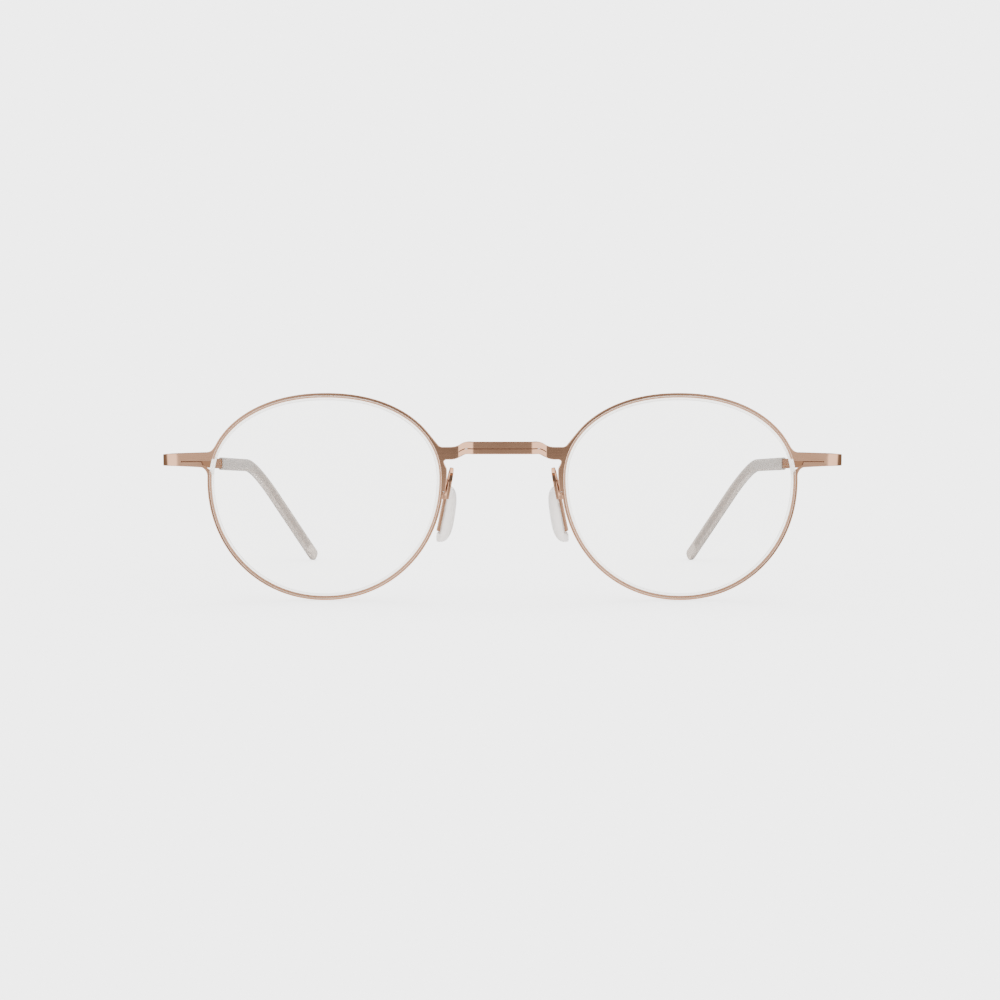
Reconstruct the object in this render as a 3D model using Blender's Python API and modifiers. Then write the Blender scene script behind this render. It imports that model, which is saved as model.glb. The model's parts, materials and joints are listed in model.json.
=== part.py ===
"""Eyeglasses: a bent sheet-metal front with grooved lenses, looped pad arms and folding strip temples.

Lengths are in metres and angles in degrees. Left and right are the wearer's: left is +X, the front faces -Y
and +Z is up. The glasses stand open on a level surface, on the bottoms of both rims and of both temple tips.
"""

import math
from bisect import bisect_right

import bmesh
import bpy
from mathutils import Matrix, Vector

# Lens openings in the rims
LENS_WIDTH = 0.0456
LENS_HEIGHT = 0.0401
LENS_SPACING = 0.0254  # between the two openings
WIDEST_RISE = 0.0036  # the widest line lies this far above the middle of the opening
UPPER_FULLNESS = 2.135  # 2 is an ellipse, more is squarer
LOWER_FULLNESS = 2.065
OUTLINE_LEAN = 0.013  # shift towards the nose over height

# Front sheet
SHEET_THICKNESS = 0.0008
RIM_WIDTH = 0.00088
FRONT_TILT = 8.0  # the top of the front leans forward of the bottom

# Bridge
BRIDGE_HEIGHT = 0.0025
BRIDGE_RISE = 0.0101  # its middle line above the middle of the openings
BRIDGE_FLAT = 0.0120  # length of the middle part
BRIDGE_FACET_RUN = 0.0026  # sideways run of each slanting part
BRIDGE_STEP = 0.0016  # the middle part stands this far forward of the rims
BRIDGE_DROP = 0.00127  # the outer parts lie this far below the middle part
BRIDGE_FALL_LAG = 0.0005  # the fall starts this far outside the middle part
BRIDGE_FALL_RUN = 0.0040
BRIDGE_BEND_RADIUS = 0.0010
BRIDGE_TOP_FILLET = 0.0014
BRIDGE_LOWER_FILLET = 0.0006
BRIDGE_SLIT_DROP = 0.00015  # slit below the bridge's middle line
SLIT_WIDTH = 0.00022

# Swelling of each rim on its nasal side, under the bridge
SWELL = 0.0007
SWELL_RISE = 0.0052
NECK_SWELL = 0.00035  # at the fillet under the bridge
SHELF_SWELL = 0.00045  # at the step over the root tab of the pad arm
SHELF_HEIGHT = 0.0002
SHELF_GAP = 0.00005  # between the root tab and the step

# End pieces
END_REACH = 0.0098  # from the opening to the middle of the sheet behind the bend
END_RISE = 0.00756
END_HEIGHT = 0.0026
END_ROOT_HEIGHT = 0.00295
FLAP_HEIGHT = 0.00225  # the bend narrows the end piece to this
END_BEND_RADIUS = 0.0030
END_TOP_REACH = 0.0010  # from the opening to the fillet on top
END_BOTTOM_REACH = 0.0024  # from the opening to the fillet below
END_FILLET_RISE = 0.0018
END_SLIT_DROP = 0.00037  # slit below the end piece's middle line
END_SLIT_REACH = 0.0059  # from the opening to the relief hole
RELIEF_RADIUS = 0.00028
FLAP_LENGTH = 0.0099  # from the front sheet back to the hinge line

# Split in each rim, where the lower half hooks onto the end piece
HOOK_REACH = 0.0019  # from the opening to the end of the lower half
HOOK_DROP = 0.0026  # height that the hook takes to turn into the rim
HOOK_FILLET = 0.0019
MOUTH_REACH = 0.0006  # the upper half is cut back this far above the slit
MOUTH_HEIGHT = 0.00045

# Lenses
LENS_THICKNESS = 0.0020
LENS_RADIUS = 0.2000  # of the front face
LENS_LIP = 0.00045  # the lens covers this much of the rim
GROOVE_CLEARANCE = 0.0001

# Pad arms
ARM_WIDTH = 0.0007
ARM_THICKNESS = 0.0007
ARM_ROOT_RISE = 0.0003  # middle of the root tab above the middle of the opening
ARM_ROOT_GAP = 0.0004  # between the rim and the strip beside the root tab
ARM_TAB_HEIGHT = 0.0014
ARM_TAB_THICKNESS = 0.0006
ARM_LEAN = 11.5  # the strips lean towards the nose
ARM_SPLAY = 3.5  # the rear strip stands further out than the front one
LOOP_RISE = 0.0049  # top of the loop above the root
LOOP_RADIUS = 0.0030
LOOP_FLAT = 0.0005
REAR_STRIP_DROP = 0.0084  # end of the rear strip below the root

# Nose pads
PAD_LENGTH = 0.0116
PAD_WIDTH = 0.0068
PAD_CROWN = 0.00265  # nose side above the middle of the strip
PAD_BACK = 0.0002
PAD_OVERHANG = 0.0021  # below the end of the rear strip
PAD_SPLAY = 10.0
PAD_RIGHTING = 3.0  # the pads stand more upright than the strips
PAD_FULLNESS = 3.0
PAD_CLEARANCE = 0.0001

# Hinges
BARREL_RADIUS = 0.0009
KNUCKLE_HEIGHT = 0.00058
WASHER_THICKNESS = 0.00012
STACK_GAP = 0.00004
LEAF_THICKNESS = 0.0005
LEAF_LENGTH = 0.0048
LEAF_SETBACK = 0.00012  # of the leaf's edges from the ends of the knuckles
FINGER_INSET = 0.00006  # of the fingers from the faces of leaf and knuckle
KNUCKLE_CLEARANCE = 0.00015  # between the leaf's edge and the other leaf's knuckles
PIN_RADIUS = 0.00040
PIN_CLEARANCE = 0.00004
HEAD_RADIUS = 0.00062
HEAD_HEIGHT = 0.00026
DRIVER_SLOT_WIDTH = 0.00016
DRIVER_SLOT_DEPTH = 0.00012
SEAT_GAP = 0.00005
JOINT_GAP = 0.0001  # the flap and the temple each stop this far from the hinge line

# Temples and tips
TEMPLE_YAW = 4.0  # the temples close in towards the back
TEMPLE_PITCH = 0.3  # and rise
TEMPLE_THICKNESS = 0.0008
TEMPLE_HEIGHT = 0.0022
TEMPLE_REACH = 0.0947  # from the hinge to the start of the bend
TEMPLE_BEND_RADIUS = 0.0280
TIP_LENGTH = 0.0465  # along the bend and the straight run after it
TIP_FALL = 39.0
TIP_TURN = 24.0  # turned in towards the head
SLEEVE_START = 0.0590
SLEEVE_HEIGHT = 0.00285
SLEEVE_THICKNESS = 0.00175
SLEEVE_FLARE = 1.01  # section at the end over the section at the mouth
SLEEVE_FULLNESS = 3.0
CORE_SCALE = 0.6  # section of the metal inside the sleeve over the section in front of it
CORE_STOP = 0.0050  # the metal ends this far before the end of the sleeve
CORE_CLEARANCE = 0.0001

# Drawing
DRAWING_UNIT = 0.001  # curves are drawn in millimetres, because a fill merges points under 0.03 units apart
WELD = 0.000001
PAST_MIDDLE = 0.0005
RIM_STEPS = 80
BLEND_STEPS = 5
BEND_STEPS = 8
ROUND_STEPS = 20
SLEEVE_SIDES = 16
CAP_TURN = 82.0  # how far round its rounded end the sleeve is drawn
BLEND_PULL = 0.39  # handle length over chord length, as in a quarter circle
SHARP_ANGLE = 25.0
SEARCH_STEPS = 50
SETTLE_STEPS = 10

TILT = math.radians(FRONT_TILT)
EYE_X = (LENS_SPACING + LENS_WIDTH) / 2
LEAF_OUTER = BARREL_RADIUS + SEAT_GAP
SKIN_INNER = LEAF_OUTER + SEAT_GAP  # inner face of the flap and of the temple, from the hinge axis
KNUCKLE_PITCH = KNUCKLE_HEIGHT + WASHER_THICKNESS + 2 * STACK_GAP
STACK_TOP = KNUCKLE_PITCH + KNUCKLE_HEIGHT / 2


def clear_scene():
    for obj in list(bpy.data.objects):
        bpy.data.objects.remove(obj)


# Meshes from curves, primitives and modifiers


def evaluated_mesh(obj):
    """Mesh of an object with its modifiers applied. The object is removed."""
    bpy.context.scene.collection.objects.link(obj)
    bpy.context.view_layer.update()
    graph = bpy.context.evaluated_depsgraph_get()
    mesh = bpy.data.meshes.new_from_object(obj.evaluated_get(graph))
    bpy.data.objects.remove(obj)
    return mesh


def welded(mesh):
    work = bmesh.new()
    work.from_mesh(mesh)
    bmesh.ops.remove_doubles(work, verts=work.verts, dist=WELD)
    bmesh.ops.recalc_face_normals(work, faces=work.faces)
    work.to_mesh(mesh)
    work.free()
    return mesh


def poly_curve(lines, flat):
    """Curve through the given points: closed and flat, or open in space."""
    curve = bpy.data.curves.new("drawing", "CURVE")
    curve.dimensions = "2D" if flat else "3D"
    for line in lines:
        spline = curve.splines.new("POLY")
        spline.points.add(len(line) - 1)
        for knot, point in zip(spline.points, line):
            knot.co = (*(point.to_3d() / DRAWING_UNIT), 1)
        spline.use_cyclic_u = flat
    return curve


def curve_mesh(curve):
    mesh = evaluated_mesh(bpy.data.objects.new("drawing", curve))
    mesh.transform(Matrix.Scale(DRAWING_UNIT, 4))
    return welded(mesh)


def plate(outlines, thickness):
    """Flat plate in X and Y, centred on Z = 0. An outline inside another is a hole."""
    curve = poly_curve(outlines, flat=True)
    curve.fill_mode = "BOTH"
    curve.extrude = thickness / 2 / DRAWING_UNIT
    return curve_mesh(curve)


def upright(mesh):
    """Turns a flat plate to stand in X and Z, with its top side to the front."""
    mesh.transform(Matrix.Rotation(math.pi / 2, 4, "X"))
    return mesh


def swept(path, section, scales):
    """Section carried along a path, its Y axis kept as near upright as the path allows."""
    profile = bpy.data.objects.new("profile", poly_curve([section], flat=True))
    curve = poly_curve([path], flat=False)
    curve.twist_mode = "Z_UP"
    curve.bevel_mode = "OBJECT"
    curve.bevel_object = profile
    curve.use_fill_caps = True
    for knot, scale in zip(curve.splines[0].points, scales):
        knot.radius = scale
    mesh = curve_mesh(curve)
    bpy.data.objects.remove(profile)
    return mesh


def turned(profile):
    """Solid of revolution about Z. The profile runs down its outer side."""
    mesh = bpy.data.meshes.new("turned")
    edges = [(index, index + 1) for index in range(len(profile) - 1)]
    mesh.from_pydata([(radius, 0, height) for radius, height in profile], edges, [])
    obj = bpy.data.objects.new("turned", mesh)
    screw = obj.modifiers.new("turn", "SCREW")
    screw.steps = screw.render_steps = ROUND_STEPS
    screw.use_merge_vertices = True
    screw.merge_threshold = WELD
    return welded(evaluated_mesh(obj))


def box(low, high):
    work = bmesh.new()
    size = high - low
    place = Matrix.Translation((low + high) / 2) @ Matrix.Diagonal((*size, 1))
    bmesh.ops.create_cube(work, size=1, matrix=place)
    return mesh_of(work)


def cylinder(radius, low, high):
    """Upright cylinder on the Z axis."""
    work = bmesh.new()
    place = Matrix.Translation((0, 0, (low + high) / 2))
    bmesh.ops.create_cone(
        work,
        cap_ends=True,
        segments=ROUND_STEPS,
        radius1=radius,
        radius2=radius,
        depth=high - low,
        matrix=place,
    )
    return mesh_of(work)


def mesh_of(work):
    mesh = bpy.data.meshes.new("shape")
    work.to_mesh(mesh)
    work.free()
    return mesh


def combined(mesh, *steps):
    """Mesh after a row of Boolean steps, each an operation and the mesh that it works with."""
    obj = bpy.data.objects.new("combined", mesh)
    tools = []
    for operation, other in steps:
        tool = bpy.data.objects.new("tool", other)
        bpy.context.scene.collection.objects.link(tool)
        boolean = obj.modifiers.new(operation.lower(), "BOOLEAN")
        boolean.operation = operation
        boolean.object = tool
        tools.append(tool)
    result = evaluated_mesh(obj)
    for tool in tools:
        bpy.data.objects.remove(tool)
    return result


def mirrored(mesh):
    copy = mesh.copy()
    copy.transform(Matrix.Scale(-1, 4, (1, 0, 0)))
    copy.flip_normals()
    return copy


# Outlines and paths


def bezier(start, lead, follow, end):
    """Points of a cubic curve, with both ends."""
    points = []
    for step in range(BLEND_STEPS + 1):
        t = step / BLEND_STEPS
        u = 1 - t
        points.append(u**3 * start + 3 * u * u * t * lead + 3 * u * t * t * follow + t**3 * end)
    return points


def blend(start, start_way, end, end_way):
    """Smooth curve that leaves the start and reaches the end along the given ways."""
    pull = BLEND_PULL * (end - start).length
    return bezier(start, start + pull * start_way, end - pull * end_way, end)


def rounded_path(corners, radii, steps):
    """Straight runs joined by arcs of the given radii, each of the given number of steps."""
    points = [corners[0]]
    for before, corner, after, radius in zip(corners, corners[1:], corners[2:], radii):
        arrive = (corner - before).normalized()
        leave = (after - corner).normalized()
        turn = arrive.angle(leave)
        inward = (leave - arrive * arrive.dot(leave)).normalized()
        start = corner - arrive * radius * math.tan(turn / 2)
        for step in range(steps + 1):
            angle = turn * step / steps
            along = radius * math.sin(angle)
            points.append(start + arrive * along + inward * radius * (1 - math.cos(angle)))
    return points + [corners[-1]]


def part_of_path(path, start, end):
    """The stretch of a path between two lengths along it."""
    points = []
    passed = 0.0
    for before, after in zip(path, path[1:]):
        run = (after - before).length
        for length in (start, end):
            if passed <= length < passed + run:
                points.append(before.lerp(after, (length - passed) / run))
        passed += run
        if start < passed < end:
            points.append(after)
    return points


def path_length(path):
    return sum((after - before).length for before, after in zip(path, path[1:]))


def full_oval(half_width, half_height, fullness, steps):
    """Closed outline of a superellipse."""
    points = []
    for step in range(steps):
        turn = math.tau * (step + 0.5) / steps
        x, y = math.cos(turn), math.sin(turn)
        across = math.copysign(abs(x) ** (2 / fullness), x)
        up = math.copysign(abs(y) ** (2 / fullness), y)
        points.append(Vector((half_width * across, half_height * up)))
    return points


def rectangle(width, height):
    x, y = width / 2, height / 2
    return [Vector((-x, -y)), Vector((x, -y)), Vector((x, y)), Vector((-x, y))]


def lens_point(turn, grow=0.0):
    """Point of the opening's outline about its middle, moved out by grow.

    Turn 0 is the temporal side and a quarter turn is the top.
    """
    x, y = math.cos(turn), math.sin(turn)
    half_width = LENS_WIDTH / 2
    half_height = LENS_HEIGHT / 2 - math.copysign(WIDEST_RISE, y)
    fullness = UPPER_FULLNESS if y > 0 else LOWER_FULLNESS
    across = math.copysign(abs(x) ** (2 / fullness), x)
    up = math.copysign(abs(y) ** (2 / fullness), y)
    normal = Vector(
        (
            math.copysign(abs(across) ** (fullness - 1), x) / half_width,
            math.copysign(abs(up) ** (fullness - 1), y) / half_height,
        )
    )
    height = WIDEST_RISE + half_height * up
    normal.y += OUTLINE_LEAN * normal.x
    return Vector((half_width * across - OUTLINE_LEAN * height, height)) + grow * normal.normalized()


def lens_outline(grow):
    return [lens_point(math.tau * step / RIM_STEPS, grow) for step in range(RIM_STEPS)]


def turn_at(height, grow, low_turn, high_turn):
    """Turn between two turns at which the outline passes a height."""
    rising = lens_point(high_turn, grow).y > lens_point(low_turn, grow).y
    for _ in range(SEARCH_STEPS):
        middle = (low_turn + high_turn) / 2
        if (lens_point(middle, grow).y < height) == rising:
            low_turn = middle
        else:
            high_turn = middle
    return middle


def lens_arc(start, end, grow):
    """Points of the outline from one turn to another, with both ends."""
    count = math.ceil(abs(end - start) / math.tau * RIM_STEPS)
    return [lens_point(start + (end - start) * step / count, grow) for step in range(count + 1)]


def clockwise_way(turn, grow):
    small = math.tau / RIM_STEPS / SEARCH_STEPS
    return (lens_point(turn - small, grow) - lens_point(turn + small, grow)).normalized()


# Front sheet


class BentLine:
    """Plan of a bent sheet: its middle line, with the developed length and the way across at each point."""

    def __init__(self, points, start):
        self.points = points
        self.lengths = [start]
        across = []
        for before, after in zip(points, points[1:]):
            run = after - before
            self.lengths.append(self.lengths[-1] + run.length)
            across.append(Vector((-run.y, run.x)).normalized())
        self.across = [across[0]]
        for before, after in zip(across, across[1:]):
            self.across.append((before + after) / (1 + before.dot(after)))
        self.across.append(across[-1])

    def fold(self, flat):
        """Place in the bent sheet of a point of the flat one: developed length, depth and height."""
        index = min(max(bisect_right(self.lengths, flat.x) - 1, 0), len(self.points) - 2)
        share = (flat.x - self.lengths[index]) / (self.lengths[index + 1] - self.lengths[index])
        middle = self.points[index].lerp(self.points[index + 1], share)
        plan = middle + flat.y * self.across[index].lerp(self.across[index + 1], share)
        return Vector((plan.x, plan.y, flat.z))

    def unfold(self, x):
        """Developed length at which the middle line first reaches a sideways place."""
        for index, point in enumerate(self.points):
            if point.x >= x:
                break
        before = self.points[index - 1]
        share = (x - before.x) / (point.x - before.x)
        return self.lengths[index - 1] + share * (self.lengths[index] - self.lengths[index - 1])


def front_line():
    """Plan of the left half of the front, from just past the middle to the end of the flap."""
    yaw = math.radians(TEMPLE_YAW)
    facet = BRIDGE_FLAT / 2 + BRIDGE_FACET_RUN
    corner = Vector((EYE_X + LENS_WIDTH / 2 + END_REACH, 0))
    flap = FLAP_LENGTH + END_HEIGHT  # longer than the flap, which is cut to its own slanting end
    corners = [
        Vector((-PAST_MIDDLE, -BRIDGE_STEP)),
        Vector((BRIDGE_FLAT / 2, -BRIDGE_STEP)),
        Vector((facet, 0)),
        corner,
        corner + flap * Vector((-math.sin(yaw), math.cos(yaw))),
    ]
    radii = [BRIDGE_BEND_RADIUS, BRIDGE_BEND_RADIUS, END_BEND_RADIUS]
    return BentLine(rounded_path(corners, radii, BEND_STEPS), -PAST_MIDDLE)


def bridge_edge(line, offset):
    """Line along the bridge at a height above its middle line, from past the middle of the front outwards."""
    fall = BRIDGE_FLAT / 2 + BRIDGE_FALL_LAG
    start, end = line.unfold(fall), line.unfold(fall + BRIDGE_FALL_RUN)
    high = BRIDGE_RISE + offset
    middle = (start + end) / 2
    step = bezier(
        Vector((start, high)),
        Vector((middle, high)),
        Vector((middle, high - BRIDGE_DROP)),
        Vector((end, high - BRIDGE_DROP)),
    )
    return [Vector((-PAST_MIDDLE, high))] + step


def end_edge(line, root, side):
    """Upper (side 1) or lower (side -1) edge of an end piece from its root to the end of its flap.

    The edge stays level when the front tilts, so it falls across the sheet as the sheet bends back.
    """
    flap_end = line.lengths[-1] - END_HEIGHT - JOINT_GAP
    slant = side * FLAP_HEIGHT / 2 * math.sin(TILT) * math.cos(TILT)
    points = [Vector((root, END_RISE + side * END_ROOT_HEIGHT / 2))]
    bend_start = len(line.points) - BEND_STEPS - 2
    for step, length in enumerate([*line.lengths[bend_start:-1], flap_end + slant]):
        depth = line.fold(Vector((length, 0, 0))).y
        height = END_HEIGHT + (FLAP_HEIGHT - END_HEIGHT) * min(step / BEND_STEPS, 1)
        points.append(Vector((length, END_RISE + side * height / 2 - depth * math.tan(TILT))))
    return points


def front_outline(line):
    """Outer outline of the left half of the flat front sheet, clockwise from the top of the bridge."""
    eye = Vector((line.unfold(EYE_X), 0))
    edge = eye.x + LENS_WIDTH / 2
    right, left, up = Vector((1, 0)), Vector((-1, 0)), Vector((0, 1))
    half = BRIDGE_HEIGHT / 2
    tab_top = BRIDGE_RISE - BRIDGE_DROP + half
    tab_bottom = tab_top - BRIDGE_HEIGHT

    outline = bridge_edge(line, half)
    corner = lens_point(turn_at(tab_top, RIM_WIDTH, math.pi / 2, math.pi), RIM_WIDTH)
    nasal_turn = turn_at(tab_top + BRIDGE_TOP_FILLET, RIM_WIDTH, math.pi / 2, math.pi)
    nasal = lens_point(nasal_turn, RIM_WIDTH)
    start = corner + BRIDGE_TOP_FILLET * left
    outline += blend(eye + start, right, eye + nasal, clockwise_way(nasal_turn, RIM_WIDTH))[:-1]

    top_edge = end_edge(line, edge + END_TOP_REACH, 1)
    temporal_turn = turn_at(top_edge[0].y + END_FILLET_RISE, RIM_WIDTH, 0, math.pi / 2)
    arc = [eye + point for point in lens_arc(nasal_turn, temporal_turn, RIM_WIDTH)]
    outline += arc[:-1]
    outline += blend(arc[-1], clockwise_way(temporal_turn, RIM_WIDTH), top_edge[0], right)[:-1]
    bottom_edge = end_edge(line, edge + END_BOTTOM_REACH, -1)
    outline += top_edge + bottom_edge[:0:-1]

    hook_turn = turn_at(bottom_edge[0].y - HOOK_FILLET, RIM_WIDTH, 0, math.pi / 2)
    hook = eye + lens_point(hook_turn, RIM_WIDTH)
    outline += blend(bottom_edge[0], left, hook, clockwise_way(hook_turn, RIM_WIDTH))[:-1]

    foot = ARM_ROOT_RISE + ARM_TAB_HEIGHT / 2 + SHELF_GAP
    foot_turn = turn_at(foot, RIM_WIDTH, -math.pi, -math.pi / 2)
    shelf_turn = turn_at(foot + SHELF_HEIGHT, RIM_WIDTH, -math.pi, -math.pi / 2)
    shelf = eye + lens_point(shelf_turn, RIM_WIDTH + SHELF_SWELL)
    shelf_way = clockwise_way(shelf_turn, RIM_WIDTH)
    arc = [eye + point for point in lens_arc(hook_turn, foot_turn, RIM_WIDTH)]
    swell = eye + lens_point(turn_at(SWELL_RISE, RIM_WIDTH, math.pi / 2, math.pi), RIM_WIDTH + SWELL)
    neck_turn = turn_at(tab_bottom - BRIDGE_LOWER_FILLET, RIM_WIDTH, math.pi / 2, math.pi)
    neck = eye + lens_point(neck_turn, RIM_WIDTH + NECK_SWELL)
    neck_way = clockwise_way(neck_turn, RIM_WIDTH)
    tab_end = Vector((neck.x - BRIDGE_LOWER_FILLET, tab_bottom))
    outline += arc[:-1]
    outline += blend(arc[-1], clockwise_way(foot_turn, RIM_WIDTH), shelf, shelf_way)[:-1]
    outline += blend(shelf, shelf_way, swell, up)[:-1]
    outline += blend(swell, up, neck, neck_way)[:-1]
    outline += blend(neck, neck_way, tab_end, left)
    outline += bridge_edge(line, -half)[::-1]

    outline += bridge_edge(line, -BRIDGE_SLIT_DROP - SLIT_WIDTH / 2)[:-2]
    outline += bridge_edge(line, -BRIDGE_SLIT_DROP + SLIT_WIDTH / 2)[-3::-1]
    return outline


def opening_outline(line):
    """Lens opening of the left half of the flat sheet, with the split that runs into the end piece."""
    eye = Vector((line.unfold(EYE_X), 0))
    edge = eye.x + LENS_WIDTH / 2
    slit = END_RISE - END_SLIT_DROP
    slit_top, slit_bottom = slit + SLIT_WIDTH / 2, slit - SLIT_WIDTH / 2
    down = Vector((0, -1))

    mouth_top = slit_top + MOUTH_HEIGHT
    upper_turn = turn_at(mouth_top, 0, 0, math.pi / 2)
    hook_turn = turn_at(slit_bottom - HOOK_DROP, 0, 0, math.pi / 2)
    outline = [eye + point for point in lens_arc(upper_turn, math.tau + hook_turn, 0)]
    hook = blend(Vector((edge + HOOK_REACH, slit_bottom)), down, outline[-1], clockwise_way(hook_turn, 0))
    outline += hook[-2::-1]

    relief = Vector((edge + END_SLIT_REACH, slit))
    gape = math.asin(SLIT_WIDTH / 2 / RELIEF_RADIUS)
    for step in range(BEND_STEPS + 1):
        turn = gape - math.pi + (math.tau - 2 * gape) * step / BEND_STEPS
        outline.append(relief + RELIEF_RADIUS * Vector((math.cos(turn), math.sin(turn))))
    mouth = outline[0].x + MOUTH_REACH
    return outline + [Vector((mouth, slit_top)), Vector((mouth, mouth_top))]


def front_sheet(line):
    """Flat half sheet cut to its outlines, bent along its bend lines and mirrored."""
    mesh = upright(plate([front_outline(line), opening_outline(line)], SHEET_THICKNESS))
    work = bmesh.new()
    work.from_mesh(mesh)
    for length in line.lengths[1:-1]:
        geometry = work.verts[:] + work.edges[:] + work.faces[:]
        bmesh.ops.bisect_plane(work, geom=geometry, dist=WELD, plane_co=(length, 0, 0), plane_no=(1, 0, 0))
    for vertex in work.verts:
        vertex.co = line.fold(vertex.co)
    geometry = work.verts[:] + work.edges[:] + work.faces[:]
    bmesh.ops.bisect_plane(
        work, geom=geometry, dist=WELD, plane_co=(0, 0, 0), plane_no=(1, 0, 0), clear_inner=True
    )
    work.to_mesh(mesh)
    work.free()
    obj = bpy.data.objects.new("front_sheet", mesh)
    mirror = obj.modifiers.new("mirror", "MIRROR")
    mirror.merge_threshold = WELD
    return welded(evaluated_mesh(obj))


# Lenses, pad arms and pads, in the frame of the front


def lens():
    """Turned lens blank, edged to the opening's outline and grooved for the rim."""
    rim_radius = (LENS_WIDTH + LENS_HEIGHT) / 4
    blank_radius = LENS_WIDTH / 2 + LENS_HEIGHT / 4
    crown = LENS_RADIUS - math.sqrt(LENS_RADIUS**2 - rim_radius**2) + LENS_THICKNESS / 2
    rings = [blank_radius * ring / BEND_STEPS for ring in range(BEND_STEPS + 1)]
    front = [(r, crown - LENS_RADIUS + math.sqrt(LENS_RADIUS**2 - r * r)) for r in rings]
    back = [(r, height - LENS_THICKNESS) for r, height in front]
    blank = upright(turned(front + back[::-1]))
    edge = upright(plate([lens_outline(LENS_LIP)], LENS_WIDTH))
    ring = [lens_outline(2 * RIM_WIDTH + LENS_LIP), lens_outline(-GROOVE_CLEARANCE)]
    groove = upright(plate(ring, SHEET_THICKNESS + 2 * GROOVE_CLEARANCE))
    mesh = combined(blank, ("INTERSECT", edge), ("DIFFERENCE", groove))
    mesh.transform(Matrix.Translation((EYE_X, 0, 0)))
    return mesh


def arm_place():
    """Frame of a pad arm at its root: X across the strip towards the nose, Y forward, Z along the strip."""
    heights = [ARM_ROOT_RISE - ARM_TAB_HEIGHT / 2, ARM_ROOT_RISE + ARM_TAB_HEIGHT / 2]
    turns = [turn_at(height, RIM_WIDTH, -math.pi, -math.pi / 2) for height in heights]
    rim = max(-lens_point(turn, RIM_WIDTH).x for turn in turns)
    lean = math.radians(ARM_LEAN)
    strip = ARM_WIDTH / 2 / math.cos(lean) + ARM_TAB_HEIGHT / 2 * math.tan(lean)
    origin = Vector((EYE_X - rim - ARM_ROOT_GAP - strip, 0, ARM_ROOT_RISE))
    return Matrix.Translation(origin) @ Matrix.Rotation(-lean, 4, "Y") @ Matrix.Rotation(math.pi, 4, "Z")


def loop_path():
    """Middle line of the strip in its own plane: back along X, up along Y."""
    depth = 2 * LOOP_RADIUS + LOOP_FLAT
    corners = [
        Vector((0, -ARM_TAB_HEIGHT / 2, 0)),
        Vector((0, LOOP_RISE, 0)),
        Vector((depth, LOOP_RISE, 0)),
        Vector((depth, -REAR_STRIP_DROP, 0)),
    ]
    return rounded_path(corners, [LOOP_RADIUS, LOOP_RADIUS], BEND_STEPS)


def strip_place():
    """Turns the plane of the loop to stand upright behind the rim, its rear strip splayed outwards."""
    return arm_place() @ Matrix.Rotation(math.radians(-ARM_SPLAY), 4, "Z") @ Matrix(
        ((0, 0, 1, 0), (-1, 0, 0, 0), (0, 1, 0, 0), (0, 0, 0, 1))
    )


def root_tab(place):
    """Small plate from the rim's edge, which it follows at the seat gap, to the middle of the strip."""
    heights = [ARM_ROOT_RISE + ARM_TAB_HEIGHT * (step / BLEND_STEPS - 0.5) for step in range(BLEND_STEPS + 1)]
    turns = [turn_at(height, RIM_WIDTH, -math.pi, -math.pi / 2) for height in heights]
    rim_edge = [lens_point(turn, RIM_WIDTH + SEAT_GAP) + Vector((EYE_X, 0)) for turn in turns]
    strip_x = place.translation.x
    strip_edge = [Vector((strip_x, rim_edge[-1].y)), Vector((strip_x, rim_edge[0].y))]
    return upright(plate([rim_edge + strip_edge], ARM_TAB_THICKNESS))


def pad_arm():
    path = loop_path()
    strip = swept(path, rectangle(ARM_THICKNESS, ARM_WIDTH), [1] * len(path))
    strip.transform(strip_place())
    return combined(strip, ("UNION", root_tab(arm_place())))


def nose_pad():
    """Soft pad crowned towards the nose, with a channel in its back for the rear strip."""
    half_length = PAD_LENGTH / 2
    work = bmesh.new()
    bmesh.ops.create_uvsphere(work, u_segments=ROUND_STEPS, v_segments=ROUND_STEPS // 2, radius=1)
    for vertex in work.verts:
        full = [math.copysign(abs(value) ** (2 / PAD_FULLNESS), value) for value in vertex.co]
        thickness = PAD_CROWN if full[0] > 0 else PAD_BACK
        vertex.co = (full[0] * thickness, full[1] * PAD_WIDTH / 2, full[2] * half_length)
    pad = mesh_of(work)
    reach = Vector((ARM_WIDTH / 2 + PAD_CLEARANCE, ARM_THICKNESS / 2 + PAD_CLEARANCE, 0))
    low = Vector((-PAD_LENGTH, -reach.y, PAD_OVERHANG - PAD_CLEARANCE - half_length))
    high = Vector((reach.x, reach.y, PAD_LENGTH))
    righting = Matrix.Rotation(math.radians(-PAD_RIGHTING), 4, "Y")
    pad.transform(righting @ Matrix.Rotation(math.radians(PAD_SPLAY), 4, "Z"))
    mesh = combined(pad, ("DIFFERENCE", box(low, high)))
    loop_depth = 2 * LOOP_RADIUS + LOOP_FLAT
    middle = Matrix.Translation((0, -loop_depth, half_length - PAD_OVERHANG - REAR_STRIP_DROP))
    mesh.transform(arm_place() @ Matrix.Rotation(math.radians(-ARM_SPLAY), 4, "Z") @ middle)
    return mesh


# Hinges, in a frame on the hinge axis: X outwards, Y back along the temple, Z up


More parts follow.
